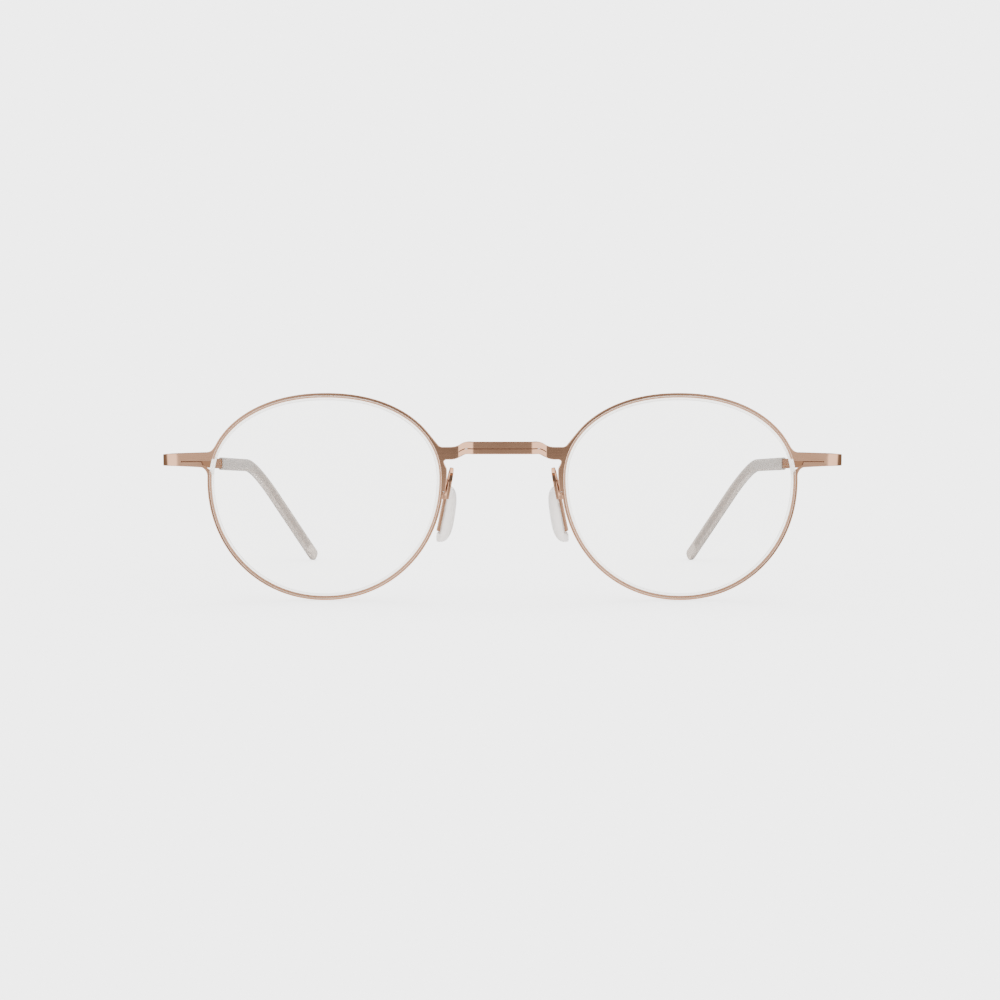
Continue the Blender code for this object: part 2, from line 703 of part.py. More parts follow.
def leaf(way, levels):
    """Hinge leaf that lies to one way along Y, with a knuckle at each level."""
    inner = LEAF_OUTER - LEAF_THICKNESS
    half_height = STACK_TOP - LEAF_SETBACK
    near, far = way * (BARREL_RADIUS + KNUCKLE_CLEARANCE), way * LEAF_LENGTH
    low = Vector((inner, min(near, far), -half_height))
    high = Vector((LEAF_OUTER, max(near, far), half_height))
    steps = []
    for level in levels:
        bottom, top = level - KNUCKLE_HEIGHT / 2, level + KNUCKLE_HEIGHT / 2
        root = way * (BARREL_RADIUS + KNUCKLE_CLEARANCE + LEAF_THICKNESS)
        finger_low = Vector((inner + FINGER_INSET, min(0, root), bottom + FINGER_INSET))
        finger_high = Vector((LEAF_OUTER - FINGER_INSET, max(0, root), top - FINGER_INSET))
        steps.append(("UNION", box(finger_low, finger_high)))
        steps.append(("UNION", cylinder(BARREL_RADIUS, bottom, top)))
    bore = cylinder(PIN_RADIUS + PIN_CLEARANCE, -2 * STACK_TOP, 2 * STACK_TOP)
    steps.append(("DIFFERENCE", bore))
    sink = cylinder(HEAD_RADIUS + PIN_CLEARANCE, STACK_TOP - HEAD_HEIGHT, 2 * STACK_TOP)
    if max(levels) > 0:
        steps.append(("DIFFERENCE", sink))
    return combined(box(low, high), *steps)


def hinge_screw():
    """Screw with a slotted head, sunk in the upper knuckle."""
    under_head = STACK_TOP - HEAD_HEIGHT + STACK_GAP
    profile = [
        (0, STACK_TOP),
        (HEAD_RADIUS, STACK_TOP),
        (HEAD_RADIUS, under_head),
        (PIN_RADIUS, under_head),
        (PIN_RADIUS, -STACK_TOP),
        (0, -STACK_TOP),
    ]
    half_slot = DRIVER_SLOT_WIDTH / 2
    low = Vector((-half_slot, -2 * HEAD_RADIUS, STACK_TOP - DRIVER_SLOT_DEPTH))
    high = Vector((half_slot, 2 * HEAD_RADIUS, STACK_TOP + DRIVER_SLOT_DEPTH))
    return combined(turned(profile), ("DIFFERENCE", box(low, high)))


def hinge_washer(level):
    radii = (BARREL_RADIUS, PIN_RADIUS + PIN_CLEARANCE)
    mesh = plate([full_oval(radius, radius, 2, ROUND_STEPS) for radius in radii], WASHER_THICKNESS)
    mesh.transform(Matrix.Translation((0, 0, level)))
    return mesh


# Temples and tips, in the frame of their hinge


def temple_path():
    """Middle line of the temple: straight back, then one bend down and inwards to a straight tip."""
    middle = SKIN_INNER + TEMPLE_THICKNESS / 2
    fall, inwards = math.radians(TIP_FALL), math.radians(TIP_TURN)
    level = math.cos(fall)
    tip_way = Vector((-level * math.sin(inwards), level * math.cos(inwards), -math.sin(fall)))
    pitch = math.radians(TEMPLE_PITCH)
    back = Vector((0, math.cos(pitch), math.sin(pitch)))
    turn = back.angle(tip_way)
    reach = TEMPLE_BEND_RADIUS * math.tan(turn / 2)
    straight = TIP_LENGTH - TEMPLE_BEND_RADIUS * turn
    corner = Vector((middle, 0, 0)) + (TEMPLE_REACH + reach) * back
    corners = [Vector((middle, JOINT_GAP, 0)), corner, corner + (reach + straight) * tip_way]
    return rounded_path(corners, [TEMPLE_BEND_RADIUS], BEND_STEPS)


def temple():
    path = temple_path()
    mouth = SLEEVE_START - JOINT_GAP
    strip = part_of_path(path, 0, mouth - CORE_CLEARANCE)
    core = part_of_path(path, mouth, path_length(path) - CORE_STOP)
    scales = [1] * len(strip) + [CORE_SCALE] * len(core)
    return swept(strip + core, rectangle(TEMPLE_THICKNESS, TEMPLE_HEIGHT), scales)


def temple_tip():
    """Sleeve that flares to a rounded end, with a pocket for the metal."""
    path = temple_path()
    start, end = SLEEVE_START - JOINT_GAP, path_length(path)
    cap = SLEEVE_HEIGHT * SLEEVE_FLARE / 2
    body = part_of_path(path, start, end - cap)
    scales = []
    for point_index in range(len(body)):
        share = path_length(body[: point_index + 1]) / path_length(body)
        scales.append(1 + (SLEEVE_FLARE - 1) * share)
    last, way = body[-1], (body[-1] - body[-2]).normalized()
    for step in range(1, BLEND_STEPS + 1):
        angle = math.radians(CAP_TURN) * step / BLEND_STEPS
        body.append(last + way * cap * math.sin(angle))
        scales.append(SLEEVE_FLARE * math.cos(angle))
    section = full_oval(SLEEVE_THICKNESS / 2, SLEEVE_HEIGHT / 2, SLEEVE_FULLNESS, SLEEVE_SIDES)
    sleeve = swept(body, section, scales)

    pocket_way = (path[1] - path[0]).normalized()
    pocket_path = part_of_path(path, start, end - CORE_STOP + CORE_CLEARANCE)
    pocket_path[0] = pocket_path[0] - cap * pocket_way
    width = TEMPLE_THICKNESS * CORE_SCALE + 2 * CORE_CLEARANCE
    height = TEMPLE_HEIGHT * CORE_SCALE + 2 * CORE_CLEARANCE
    pocket = swept(pocket_path, rectangle(width, height), [1] * len(pocket_path))
    return combined(sleeve, ("DIFFERENCE", pocket))


# Assembly


def finish(name, colour, roughness, metallic=0.0, transmission=0.0):
    material = bpy.data.materials.new(name)
    material.use_nodes = True
    shader = material.node_tree.nodes["Principled BSDF"]
    shader.inputs["Base Color"].default_value = (*colour, 1)
    shader.inputs["Roughness"].default_value = roughness
    shader.inputs["Metallic"].default_value = metallic
    shader.inputs["Transmission Weight"].default_value = transmission
    material.diffuse_color = (*colour, 1)
    return material


def add_empty(name, parent, collection):
    empty = bpy.data.objects.new(name, None)
    empty.empty_display_size = LENS_SPACING
    empty.parent = parent
    collection.objects.link(empty)
    return empty


def add_part(name, mesh, parent, material, collection):
    mesh.name = name
    mesh.materials.clear()
    mesh.materials.append(material)
    mesh.shade_smooth()
    mesh.set_sharp_from_angle(angle=math.radians(SHARP_ANGLE))
    part = bpy.data.objects.new(name, mesh)
    part.parent = parent
    collection.objects.link(part)
    return part


def add_pair(name, mesh, parents, material, collection):
    """The same piece on the left and, mirrored, on the right."""
    left = add_part(f"left_{name}", mesh, parents[0], material, collection)
    right = add_part(f"right_{name}", mirrored(mesh), parents[1], material, collection)
    return left, right


def hinge_seats(stand, collection):
    """Empties on the two hinge axes, one on each that is fixed to the front."""
    yaw = math.radians(TEMPLE_YAW)
    inset = SKIN_INNER + SHEET_THICKNESS / 2
    along = Vector((-math.sin(yaw), math.cos(yaw)))
    axis = Vector((EYE_X + LENS_WIDTH / 2 + END_REACH, 0)) + FLAP_LENGTH * along
    place = Vector((axis.x, axis.y / math.cos(TILT) - END_RISE * math.sin(TILT), END_RISE * math.cos(TILT)))
    level_yaw = math.atan(math.tan(yaw) * math.cos(TILT))
    place -= inset * Vector((math.cos(level_yaw), math.sin(level_yaw), 0))
    seats = []
    for name, side in (("left", 1), ("right", -1)):
        seat = add_empty(f"{name}_hinge_seat", stand, collection)
        seat.location = (side * place.x, place.y, place.z)
        seat.rotation_euler.z = side * level_yaw
        seats.append(seat)
    return seats


def world_points(parts):
    bpy.context.view_layer.update()
    return [part.matrix_world @ vertex.co for part in parts for vertex in part.data.vertices]


def settle(stand, rims, tips, parts):
    """Tips the glasses until rims and tips rest level on Z = 0, centred over the origin."""
    for _ in range(SETTLE_STEPS):
        lowest_rim = min(world_points(rims), key=lambda point: point.z)
        lowest_tip = min(world_points(tips), key=lambda point: point.z)
        step = lowest_tip - lowest_rim
        stand.rotation_euler.x -= math.atan2(step.z, step.y)
    points = world_points(parts)
    ends = [point.y for point in points]
    stand.location = (0, -(min(ends) + max(ends)) / 2, -min(point.z for point in points))


def main():
    clear_scene()
    collection = bpy.data.collections.new("eyeglasses")
    bpy.context.scene.collection.children.link(collection)
    rose_steel = finish("rose_gold_plated_steel", (0.56, 0.37, 0.27), 0.32, metallic=1.0)
    plain_steel = finish("plain_steel", (0.60, 0.58, 0.56), 0.3, metallic=1.0)
    clear_lens = finish("clear_lens", (0.95, 0.95, 0.94), 0.02, transmission=1.0)
    silicone = finish("clear_silicone", (0.80, 0.79, 0.78), 0.35, transmission=0.6)
    grey_sleeve = finish("translucent_grey_sleeve", (0.56, 0.53, 0.51), 0.4, transmission=0.4)
    nylon = finish("white_nylon", (0.80, 0.80, 0.78), 0.5)

    stand = add_empty("stand", None, collection)
    front = add_empty("front", stand, collection)
    front.rotation_euler.x = TILT
    seats = hinge_seats(stand, collection)
    hinges = [add_empty(f"{side}_hinge", seat, collection) for side, seat in zip(("left", "right"), seats)]
    fronts = (front, front)

    rims = add_part("front_frame", front_sheet(front_line()), front, rose_steel, collection)
    parts = [rims]
    parts += add_pair("lens", lens(), fronts, clear_lens, collection)
    parts += add_pair("pad_arm", pad_arm(), fronts, rose_steel, collection)
    parts += add_pair("nose_pad", nose_pad(), fronts, silicone, collection)
    parts += add_pair("front_leaf", leaf(-1, [-KNUCKLE_PITCH, KNUCKLE_PITCH]), seats, rose_steel, collection)
    parts += add_pair("hinge_screw", hinge_screw(), seats, plain_steel, collection)
    parts += add_pair("upper_washer", hinge_washer(KNUCKLE_PITCH / 2), seats, nylon, collection)
    parts += add_pair("lower_washer", hinge_washer(-KNUCKLE_PITCH / 2), seats, nylon, collection)
    parts += add_pair("temple_leaf", leaf(1, [0]), hinges, rose_steel, collection)
    parts += add_pair("temple", temple(), hinges, rose_steel, collection)
    tips = add_pair("temple_tip", temple_tip(), hinges, grey_sleeve, collection)
    parts += tips
    settle(stand, [rims], tips, parts)


if __name__ == "__main__":
    main()
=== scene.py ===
"""Eyeglasses: the look of the bent metal front, grooved lenses, nose pads and folding temples.

Every piece is drawn in the frame of the front sheet or of a hinge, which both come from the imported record, and
rides on the body of the solid that it stands for. Lengths are in metres and angles in degrees. Left and right
are the wearer's: left is +X, the front faces -Y and +Z is up.
"""

import json
import logging
import math
from bisect import bisect_right
from dataclasses import dataclass, field
from enum import Enum

import bmesh
import bpy
import numpy as np
from mathutils import Matrix, Vector
from mathutils.geometry import delaunay_2d_cdt


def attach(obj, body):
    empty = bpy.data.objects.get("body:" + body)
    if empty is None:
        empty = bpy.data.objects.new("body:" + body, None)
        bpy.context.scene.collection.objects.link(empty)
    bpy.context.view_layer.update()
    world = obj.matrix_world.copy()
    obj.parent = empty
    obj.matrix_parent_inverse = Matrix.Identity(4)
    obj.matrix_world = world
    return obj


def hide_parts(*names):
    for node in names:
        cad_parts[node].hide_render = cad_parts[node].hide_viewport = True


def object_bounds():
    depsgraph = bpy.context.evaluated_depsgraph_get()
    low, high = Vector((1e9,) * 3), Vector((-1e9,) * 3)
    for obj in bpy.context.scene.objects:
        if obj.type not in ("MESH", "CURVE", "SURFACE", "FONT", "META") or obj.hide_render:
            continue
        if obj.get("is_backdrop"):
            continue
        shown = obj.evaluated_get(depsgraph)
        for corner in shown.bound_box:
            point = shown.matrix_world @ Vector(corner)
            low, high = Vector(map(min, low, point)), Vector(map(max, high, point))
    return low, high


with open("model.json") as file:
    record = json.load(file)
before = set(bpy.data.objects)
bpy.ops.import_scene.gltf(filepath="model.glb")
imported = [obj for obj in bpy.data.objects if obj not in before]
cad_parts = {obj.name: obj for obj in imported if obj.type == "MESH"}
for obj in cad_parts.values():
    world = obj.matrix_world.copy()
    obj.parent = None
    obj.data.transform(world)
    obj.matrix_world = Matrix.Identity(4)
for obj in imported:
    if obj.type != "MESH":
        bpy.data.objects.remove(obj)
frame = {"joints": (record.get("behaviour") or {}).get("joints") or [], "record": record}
CAD_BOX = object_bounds()

MM = 0.001
WELD = 0.001 * MM
MIRROR = Matrix.Scale(-1, 4, (1, 0, 0))

log = logging.getLogger("eyeglasses")


class Side(Enum):
    """The wearer's two sides, with the sign that X has there."""

    LEFT = 1
    RIGHT = -1

    @property
    def label(self) -> str:
        """The side's name, as the solids' names have it."""
        return self.name.lower()

    @property
    def temple_body(self) -> str:
        """The body that folds on this side."""
        return f"{self.label}_temple_assembly"


class Slot(Enum):
    """The record's material slots."""

    ROSE_STEEL = "rose_gold_steel"
    PLAIN_STEEL = "plain_steel"
    LENS = "lens_plastic"
    SILICONE = "clear_silicone"
    SLEEVE = "grey_sleeve"
    NYLON = "white_nylon"


class Grain(Enum):
    """The axis of a piece along which its metal was brushed."""

    X = 0
    Y = 1


# Finishes


def linear(colour: str) -> tuple[float, float, float, float]:
    """Turns an sRGB colour into a linear one.

    Args:
        colour: the colour as a hex value, such as #c5a089.

    Returns:
        Red, green, blue and an alpha of 1.
    """
    shares = [int(colour[start : start + 2], 16) / 255 for start in (1, 3, 5)]
    red, green, blue = (s / 12.92 if s <= 0.04045 else ((s + 0.055) / 1.055) ** 2.4 for s in shares)
    return red, green, blue, 1.0


def add_node(
    tree: bpy.types.NodeTree,
    kind: str,
    settings: dict[str, object] | None = None,
    inputs: dict[str | int, object] | None = None,
) -> bpy.types.Node:
    """Adds a node with its settings and links.

    Args:
        tree: the node tree to add to.
        kind: the node's type.
        settings: values of the node's own properties.
        inputs: a value, or a socket to link from, for each input.

    Returns:
        The new node.
    """
    node = tree.nodes.new(kind)
    for name, value in (settings or {}).items():
        setattr(node, name, value)
    for name, value in (inputs or {}).items():
        if isinstance(value, bpy.types.NodeSocket):
            tree.links.new(value, node.inputs[name])
        else:
            node.inputs[name].default_value = value
    return node


@dataclass(frozen=True)
class Finish:
    """A surface finish, with the values that are the same all over it."""

    name: str
    colour: str

    def material(self) -> bpy.types.Material:
        """Makes the finish's material, or finds it if it is already made.

        Returns:
            The material.
        """
        made = bpy.data.materials.get(self.name)
        if made:
            return made
        made = bpy.data.materials.new(self.name)
        made.use_nodes = True
        made.diffuse_color = linear(self.colour)
        shader = made.node_tree.nodes["Principled BSDF"]
        shader.inputs["Base Color"].default_value = linear(self.colour)
        self.dress(made.node_tree, shader)
        return made

    def dress(self, tree: bpy.types.NodeTree, shader: bpy.types.Node) -> None:
        """Sets the shader and draws the finish's pattern.

        Args:
            tree: the material's nodes.
            shader: its Principled shader.
        """
        raise NotImplementedError


@dataclass(frozen=True)
class PlatedSteel(Finish):
    """Spring steel sheet, brushed and then plated with rose gold.

    The plating is thin, so the brushed lines of the steel still show as a satin grain along the strip, and its
    tone drifts a little from place to place.
    """

    grain: Grain
    low_colour: str = "#bb947b"
    edge_colour: str = "#e3c3ac"
    roughness: tuple[float, float] = (0.07, 0.11)
    grain_width: float = 0.25 * MM  # real brushed lines are near 0.05 mm, too fine to show, so they are wider
    grain_length: float = 3.0 * MM
    grain_depth: float = 0.0012 * MM
    drift: float = 4.0 * MM

    def dress(self, tree: bpy.types.NodeTree, shader: bpy.types.Node) -> None:
        """Draws the brushed grain and the drift in tone.

        Args:
            tree: the material's nodes.
            shader: its Principled shader.
        """
        scale = [1 / self.grain_width] * 3
        scale[self.grain.value] = 1 / self.grain_length
        place = add_node(tree, "ShaderNodeTexCoord").outputs["Object"]
        along = add_node(tree, "ShaderNodeMapping", inputs={"Vector": place, "Scale": scale})
        lines = add_node(tree, "ShaderNodeTexNoise", inputs={"Vector": along.outputs[0], "Scale": 1, "Detail": 3})
        drift = add_node(tree, "ShaderNodeTexNoise", inputs={"Vector": place, "Scale": 1 / self.drift, "Detail": 2})
        tone = add_node(
            tree,
            "ShaderNodeMix",
            {"data_type": "RGBA"},
            {"Factor": drift.outputs["Fac"], "A": linear(self.low_colour), "B": linear(self.colour)},
        )
        low, high = self.roughness
        rough = add_node(
            tree, "ShaderNodeMapRange", inputs={"Value": lines.outputs["Fac"], "To Min": low, "To Max": high}
        )
        bump = add_node(
            tree, "ShaderNodeBump", inputs={"Height": lines.outputs["Fac"], "Distance": self.grain_depth}
        )
        shader.inputs["Metallic"].default_value = 1.0
        shader.inputs["Specular Tint"].default_value = linear(self.edge_colour)
        tree.links.new(tone.outputs["Result"], shader.inputs["Base Color"])
        tree.links.new(rough.outputs["Result"], shader.inputs["Roughness"])
        tree.links.new(bump.outputs["Normal"], shader.inputs["Normal"])


@dataclass(frozen=True)
class BurntScale(Finish):
    """Painted shade on the walls of narrow cuts: matt, in two dark browns, standing in for the shade deep inside a cut.
    """

    low_colour: str
    crust: float = 0.06 * MM

    def dress(self, tree: bpy.types.NodeTree, shader: bpy.types.Node) -> None:
        """Draws the painted shade, mottled between its two browns.

        Args:
            tree: the material's nodes.
            shader: its Principled shader.
        """
        place = add_node(tree, "ShaderNodeTexCoord").outputs["Object"]
        noise = add_node(tree, "ShaderNodeTexNoise", inputs={"Vector": place, "Scale": 1 / self.crust, "Detail": 2})
        tone = add_node(
            tree,
            "ShaderNodeMix",
            {"data_type": "RGBA"},
            {"Factor": noise.outputs["Fac"], "A": linear(self.low_colour), "B": linear(self.colour)},
        )
        shader.inputs["Roughness"].default_value = 0.9
        shader.inputs["Specular IOR Level"].default_value = 0.0
        tree.links.new(tone.outputs["Result"], shader.inputs["Base Color"])


@dataclass(frozen=True)
class TurnedSteel(Finish):
    """Stainless steel turned on a lathe, so its light breaks up in fine rings about the axis."""

    roughness: tuple[float, float] = (0.16, 0.30)
    ring_spacing: float = 0.06 * MM
    ring_depth: float = 0.002 * MM

    def dress(self, tree: bpy.types.NodeTree, shader: bpy.types.Node) -> None:
        """Draws the turning rings.

        Args:
            tree: the material's nodes.
            shader: its Principled shader.
        """
        place = add_node(tree, "ShaderNodeTexCoord").outputs["Object"]
        rings = add_node(
            tree,
            "ShaderNodeTexWave",
            {"wave_type": "RINGS", "rings_direction": "Z"},
            {"Vector": place, "Scale": 0.31 / self.ring_spacing, "Distortion": 1.5},
        )
        low, high = self.roughness
        rough = add_node(
            tree, "ShaderNodeMapRange", inputs={"Value": rings.outputs["Fac"], "To Min": low, "To Max": high}
        )
        bump = add_node(
            tree, "ShaderNodeBump", inputs={"Height": rings.outputs["Fac"], "Distance": self.ring_depth}
        )
        shader.inputs["Metallic"].default_value = 1.0
        tree.links.new(rough.outputs["Result"], shader.inputs["Roughness"])
        tree.links.new(bump.outputs["Normal"], shader.inputs["Normal"])


@dataclass(frozen=True)
class ClearMoulding(Finish):
    """A clear or translucent plastic that lets most light through, with a surface that is even but not perfect."""

    transmission: float
    ior: float
    specular: float
    roughness: tuple[float, float]
    patch: float
    patch_depth: float

    def dress(self, tree: bpy.types.NodeTree, shader: bpy.types.Node) -> None:
        """Draws the small unevenness of the moulded or ground surface.

        Args:
            tree: the material's nodes.
            shader: its Principled shader.
        """
        place = add_node(tree, "ShaderNodeTexCoord").outputs["Object"]
        noise = add_node(tree, "ShaderNodeTexNoise", inputs={"Vector": place, "Scale": 1 / self.patch, "Detail": 3})
        low, high = self.roughness
        rough = add_node(
            tree, "ShaderNodeMapRange", inputs={"Value": noise.outputs["Fac"], "To Min": low, "To Max": high}
        )
        shader.inputs["Transmission Weight"].default_value = self.transmission
        shader.inputs["IOR"].default_value = self.ior
        shader.inputs["Specular Tint"].default_value = (self.specular,) * 3 + (1.0,)
        tree.links.new(rough.outputs["Result"], shader.inputs["Roughness"])
        if self.patch_depth:
            bump = add_node(
                tree, "ShaderNodeBump", inputs={"Height": noise.outputs["Fac"], "Distance": self.patch_depth}
            )
            tree.links.new(bump.outputs["Normal"], shader.inputs["Normal"])


@dataclass(frozen=True)
class PunchedNylon(Finish):
    """Nylon sheet, matt and slightly see-through at its edges, with a fine calendered grain."""

    grain: float = 0.15 * MM
    grain_depth: float = 0.004 * MM
    roughness: float = 0.5

    def dress(self, tree: bpy.types.NodeTree, shader: bpy.types.Node) -> None:
        """Draws the calendered grain.

        Args:
            tree: the material's nodes.
            shader: its Principled shader.
        """
        place = add_node(tree, "ShaderNodeTexCoord").outputs["Object"]
        noise = add_node(tree, "ShaderNodeTexNoise", inputs={"Vector": place, "Scale": 1 / self.grain, "Detail": 2})
        bump = add_node(
            tree, "ShaderNodeBump", inputs={"Height": noise.outputs["Fac"], "Distance": self.grain_depth}
        )
        shader.inputs["Roughness"].default_value = self.roughness
        tree.links.new(bump.outputs["Normal"], shader.inputs["Normal"])


ROSE = "#c59f86"
FRONT_STEEL = PlatedSteel("rose_gold_plated_steel_front", ROSE, Grain.X)
STRIP_STEEL = PlatedSteel("rose_gold_plated_steel_strip", ROSE, Grain.Y)
# Walls of the narrow slits: painted shade, matt and dark, so each slit shows as the thin dark line that the shade
# inside it makes
SLIT_PAINTED_SHADE = BurntScale("laser_cut_steel_scale", "#6e5243", "#5c4336")
SCREW_STEEL = TurnedSteel("turned_stainless_steel", "#cfccc8")
# Cast lens resin with an anti-reflection coat: hardly any mirror image, and no colour of its own
LENS_RESIN = ClearMoulding(
    "coated_lens_resin", "#fefefd", 1.0, 1.5, 0.25, roughness=(0.0, 0.004), patch=9.0 * MM, patch_depth=0.0
)
# The same resin where the grinding wheel cut it: frosted, so the edge shows as a pale grey band
LENS_EDGE = ClearMoulding(
    "ground_lens_resin", "#f4f1ee", 0.85, 1.5, 0.6, roughness=(0.25, 0.35), patch=0.3 * MM, patch_depth=0.01 * MM
)
# Moulded silicone, clear with a slight haze and a satin skin
PAD_SILICONE = ClearMoulding(
    "moulded_silicone", "#e4dfdb", 0.45, 1.41, 1.0, roughness=(0.26, 0.34), patch=0.5 * MM, patch_depth=0.006 * MM
)
# Extruded cellulose plastic, translucent warm grey, so the metal inside shows as a soft darker band
SLEEVE_PLASTIC = ClearMoulding(
    "translucent_grey_sleeve", "#b9afa7", 0.58, 1.47, 0.8, roughness=(0.2, 0.3), patch=0.8 * MM, patch_depth=0.01 * MM
)
WASHER_NYLON = PunchedNylon("punched_nylon_sheet", "#efeeea")


# Meshes


@dataclass
class Skin:
    """A mesh that is drawn ring by ring.

    Attributes:
        points: the places of its vertices.
        faces: the vertices of each face.
        finishes: the number of each face's material.
    """

    points: list[Vector] = field(default_factory=list)
    faces: list[tuple[int, ...]] = field(default_factory=list)
    finishes: list[int] = field(default_factory=list)

    def ring(self, points: list[Vector]) -> list[int]:
        """Adds a ring of points.

        Args:
            points: the places round the ring.

        Returns:
            The numbers of its vertices.
        """
        start = len(self.points)
        self.points.extend(points)
        return list(range(start, len(self.points)))

    def face(self, corners: tuple[int, ...], finish: int = 0) -> None:
        """Adds a face.

        Args:
            corners: the numbers of its vertices.
            finish: the number of its material.
        """
        self.faces.append(corners)
        self.finishes.append(finish)

    def loft(self, rings: list[list[int]], finish: int | list[int] = 0) -> None:
        """Joins rings by faces. A ring of one point is a pole.

        Args:
            rings: the numbers of the vertices of each ring.
            finish: the number of the faces' material, or one such number for each corner of a ring.
        """
        for before, after in zip(rings, rings[1:]):
            count = max(len(before), len(after))
            for corner in range(count):
                following = (corner + 1) % count
                own = finish if isinstance(finish, int) else finish[corner]
                if len(before) == 1:
                    self.face((before[0], after[corner], after[following]), own)
                elif len(after) == 1:
                    self.face((before[corner], after[0], before[following]), own)
                else:
                    self.face((before[corner], after[corner], after[following], before[following]), own)

    def work(self) -> bmesh.types.BMesh:
        """Closed mesh of the skin, with its faces pointing out.

        Returns:
            The mesh, to work on.
        """
        mesh = bpy.data.meshes.new("skin")
        mesh.from_pydata(self.points, [], self.faces)
        mesh.polygons.foreach_set("material_index", self.finishes)
        made = bmesh.new()
        made.from_mesh(mesh)
        bpy.data.meshes.remove(mesh)
        bmesh.ops.remove_doubles(made, verts=made.verts, dist=WELD)
        bmesh.ops.recalc_face_normals(made, faces=made.faces)
        return made

    def mesh(self) -> bpy.types.Mesh:
        """Mesh of the skin.

        Returns:
            The mesh.
        """
        return mesh_of(self.work())


def mesh_of(work: bmesh.types.BMesh) -> bpy.types.Mesh:
    """Turns a working mesh into a mesh.

    Args:
        work: the working mesh, which is freed.

    Returns:
        The mesh.
    """
    mesh = bpy.data.meshes.new("shape")
    work.to_mesh(mesh)
    work.free()
    return mesh


def evaluated(obj: bpy.types.Object) -> bpy.types.Mesh:
    """Applies an object's modifiers.

    Args:
        obj: the object, which is removed.

    Returns:
        Its mesh after the modifiers.
    """
    bpy.context.scene.collection.objects.link(obj)
    graph = bpy.context.evaluated_depsgraph_get()
    mesh = bpy.data.meshes.new_from_object(obj.evaluated_get(graph))
    bpy.data.objects.remove(obj)
    return mesh


def combined(mesh: bpy.types.Mesh, steps: list[tuple[str, bpy.types.Mesh]], bevel: float = 0.0) -> bpy.types.Mesh:
    """Runs a row of Boolean steps, and rounds the edges that are sharp after them.

    Args:
        mesh: the mesh to start from.
        steps: each operation and the mesh that it works with.
        bevel: width of the rounding, or 0 for none.

    Returns:
        The mesh after all steps.
    """
    obj = bpy.data.objects.new("combined", mesh)
    tools = []
    for operation, other in steps:
        tool = bpy.data.objects.new("tool", other)
        bpy.context.scene.collection.objects.link(tool)
        tools.append(tool)
        boolean = obj.modifiers.new(operation, "BOOLEAN")
        boolean.operation = operation
        boolean.object = tool
    if bevel:
        rounding = obj.modifiers.new("rounding", "BEVEL")
        rounding.width = bevel
        rounding.segments = 2
        rounding.limit_method = "ANGLE"
    made = evaluated(obj)
    for tool in tools:
        bpy.data.objects.remove(tool)
    return made


def box_mesh(low: Vector, high: Vector) -> bpy.types.Mesh:
    """Box between two corners.

    Args:
        low: its lowest corner.
        high: its highest corner.

    Returns:
        The mesh.
    """
    work = bmesh.new()
    size = Matrix.Diagonal((*(high - low), 1))
    bmesh.ops.create_cube(work, size=1, matrix=Matrix.Translation((low + high) / 2) @ size)
    return mesh_of(work)


def turned(profile: list[tuple[float, float]], steps: int = 48) -> bpy.types.Mesh:
    """Solid of revolution about Z.

    Args:
        profile: radius and height of each point, in order. A radius of 0 is a pole.
        steps: points round it.

    Returns:
        The mesh. A profile with no pole is closed into a ring.
    """
    skin = Skin()
    rings = []
    for radius, height in profile:
        turns = [math.tau * step / steps for step in range(steps)] if radius else [0.0]
        rings.append(skin.ring([Vector((radius * math.cos(t), radius * math.sin(t), height)) for t in turns]))
    if profile[0][0]:
        rings.append(rings[0])
    skin.loft(rings)
    return skin.mesh()


def rounded_rectangle(width: float, height: float, radius: float, steps: int = 6) -> list[Vector]:
    """Outline of a rectangle with round corners.

    Args:
        width: its size along X.
        height: its size along Y.
        radius: the radius of its corners.
        steps: steps round each corner.

    Returns:
        The points, counter-clockwise.
    """
    points = []
    for quarter in range(4):
        corner_x = math.copysign(width / 2 - radius, 1 if quarter in (0, 3) else -1)
        corner_y = math.copysign(height / 2 - radius, 1 if quarter in (0, 1) else -1)
        for step in range(steps + 1):
            turn = math.pi / 2 * (quarter + step / steps)
            points.append(Vector((corner_x + radius * math.cos(turn), corner_y + radius * math.sin(turn))))
    return points


def full_oval(half_width: float, half_height: float, fullness: float, steps: int) -> list[Vector]:
    """Outline of a superellipse.

    Args:
        half_width: its reach along X.
        half_height: its reach along Y.
        fullness: 2 for an ellipse, more for a squarer outline.
        steps: points round it.

    Returns:
        The points, counter-clockwise.
    """
    points = []
    for step in range(steps):
        turn = math.tau * (step + 0.5) / steps
        x, y = math.cos(turn), math.sin(turn)
        across = math.copysign(abs(x) ** (2 / fullness), x)
        up = math.copysign(abs(y) ** (2 / fullness), y)
        points.append(Vector((half_width * across, half_height * up)))
    return points


def path_frames(path: list[Vector], up: Vector) -> list[tuple[Vector, Vector]]:
    """Ways across and up at each point of a path.

    Args:
        path: the points of the path.
        up: the way that stays as near as it can to up.

    Returns:
        For each point the way across and the way up, both square to the path.
    """
    ways = []
    for index in range(len(path)):
        along = path[min(index + 1, len(path) - 1)] - path[max(index - 1, 0)]
        across = along.cross(up).normalized()
        ways.append((across, across.cross(along).normalized()))
    return ways


def swept(path: list[Vector], sections: list[list[Vector]], up: Vector, finish: int = 0) -> bpy.types.Mesh:
    """Skin through a row of sections along a path, closed by a pole at each end.

    Args:
        path: the points of the path.
        sections: the section at each point, its Y axis turned up.
        up: the way that stays as near as it can to up.
        finish: the number of the faces' material.

    Returns:
        The mesh.
    """
    skin = Skin()
    rings = []
    for place, section, (across, rise) in zip(path, sections, path_frames(path, up)):
        rings.append(skin.ring([place + across * point.x + rise * point.y for point in section]))
    skin.loft([skin.ring([path[0]]), *rings, skin.ring([path[-1]])], finish)
    return skin.mesh()


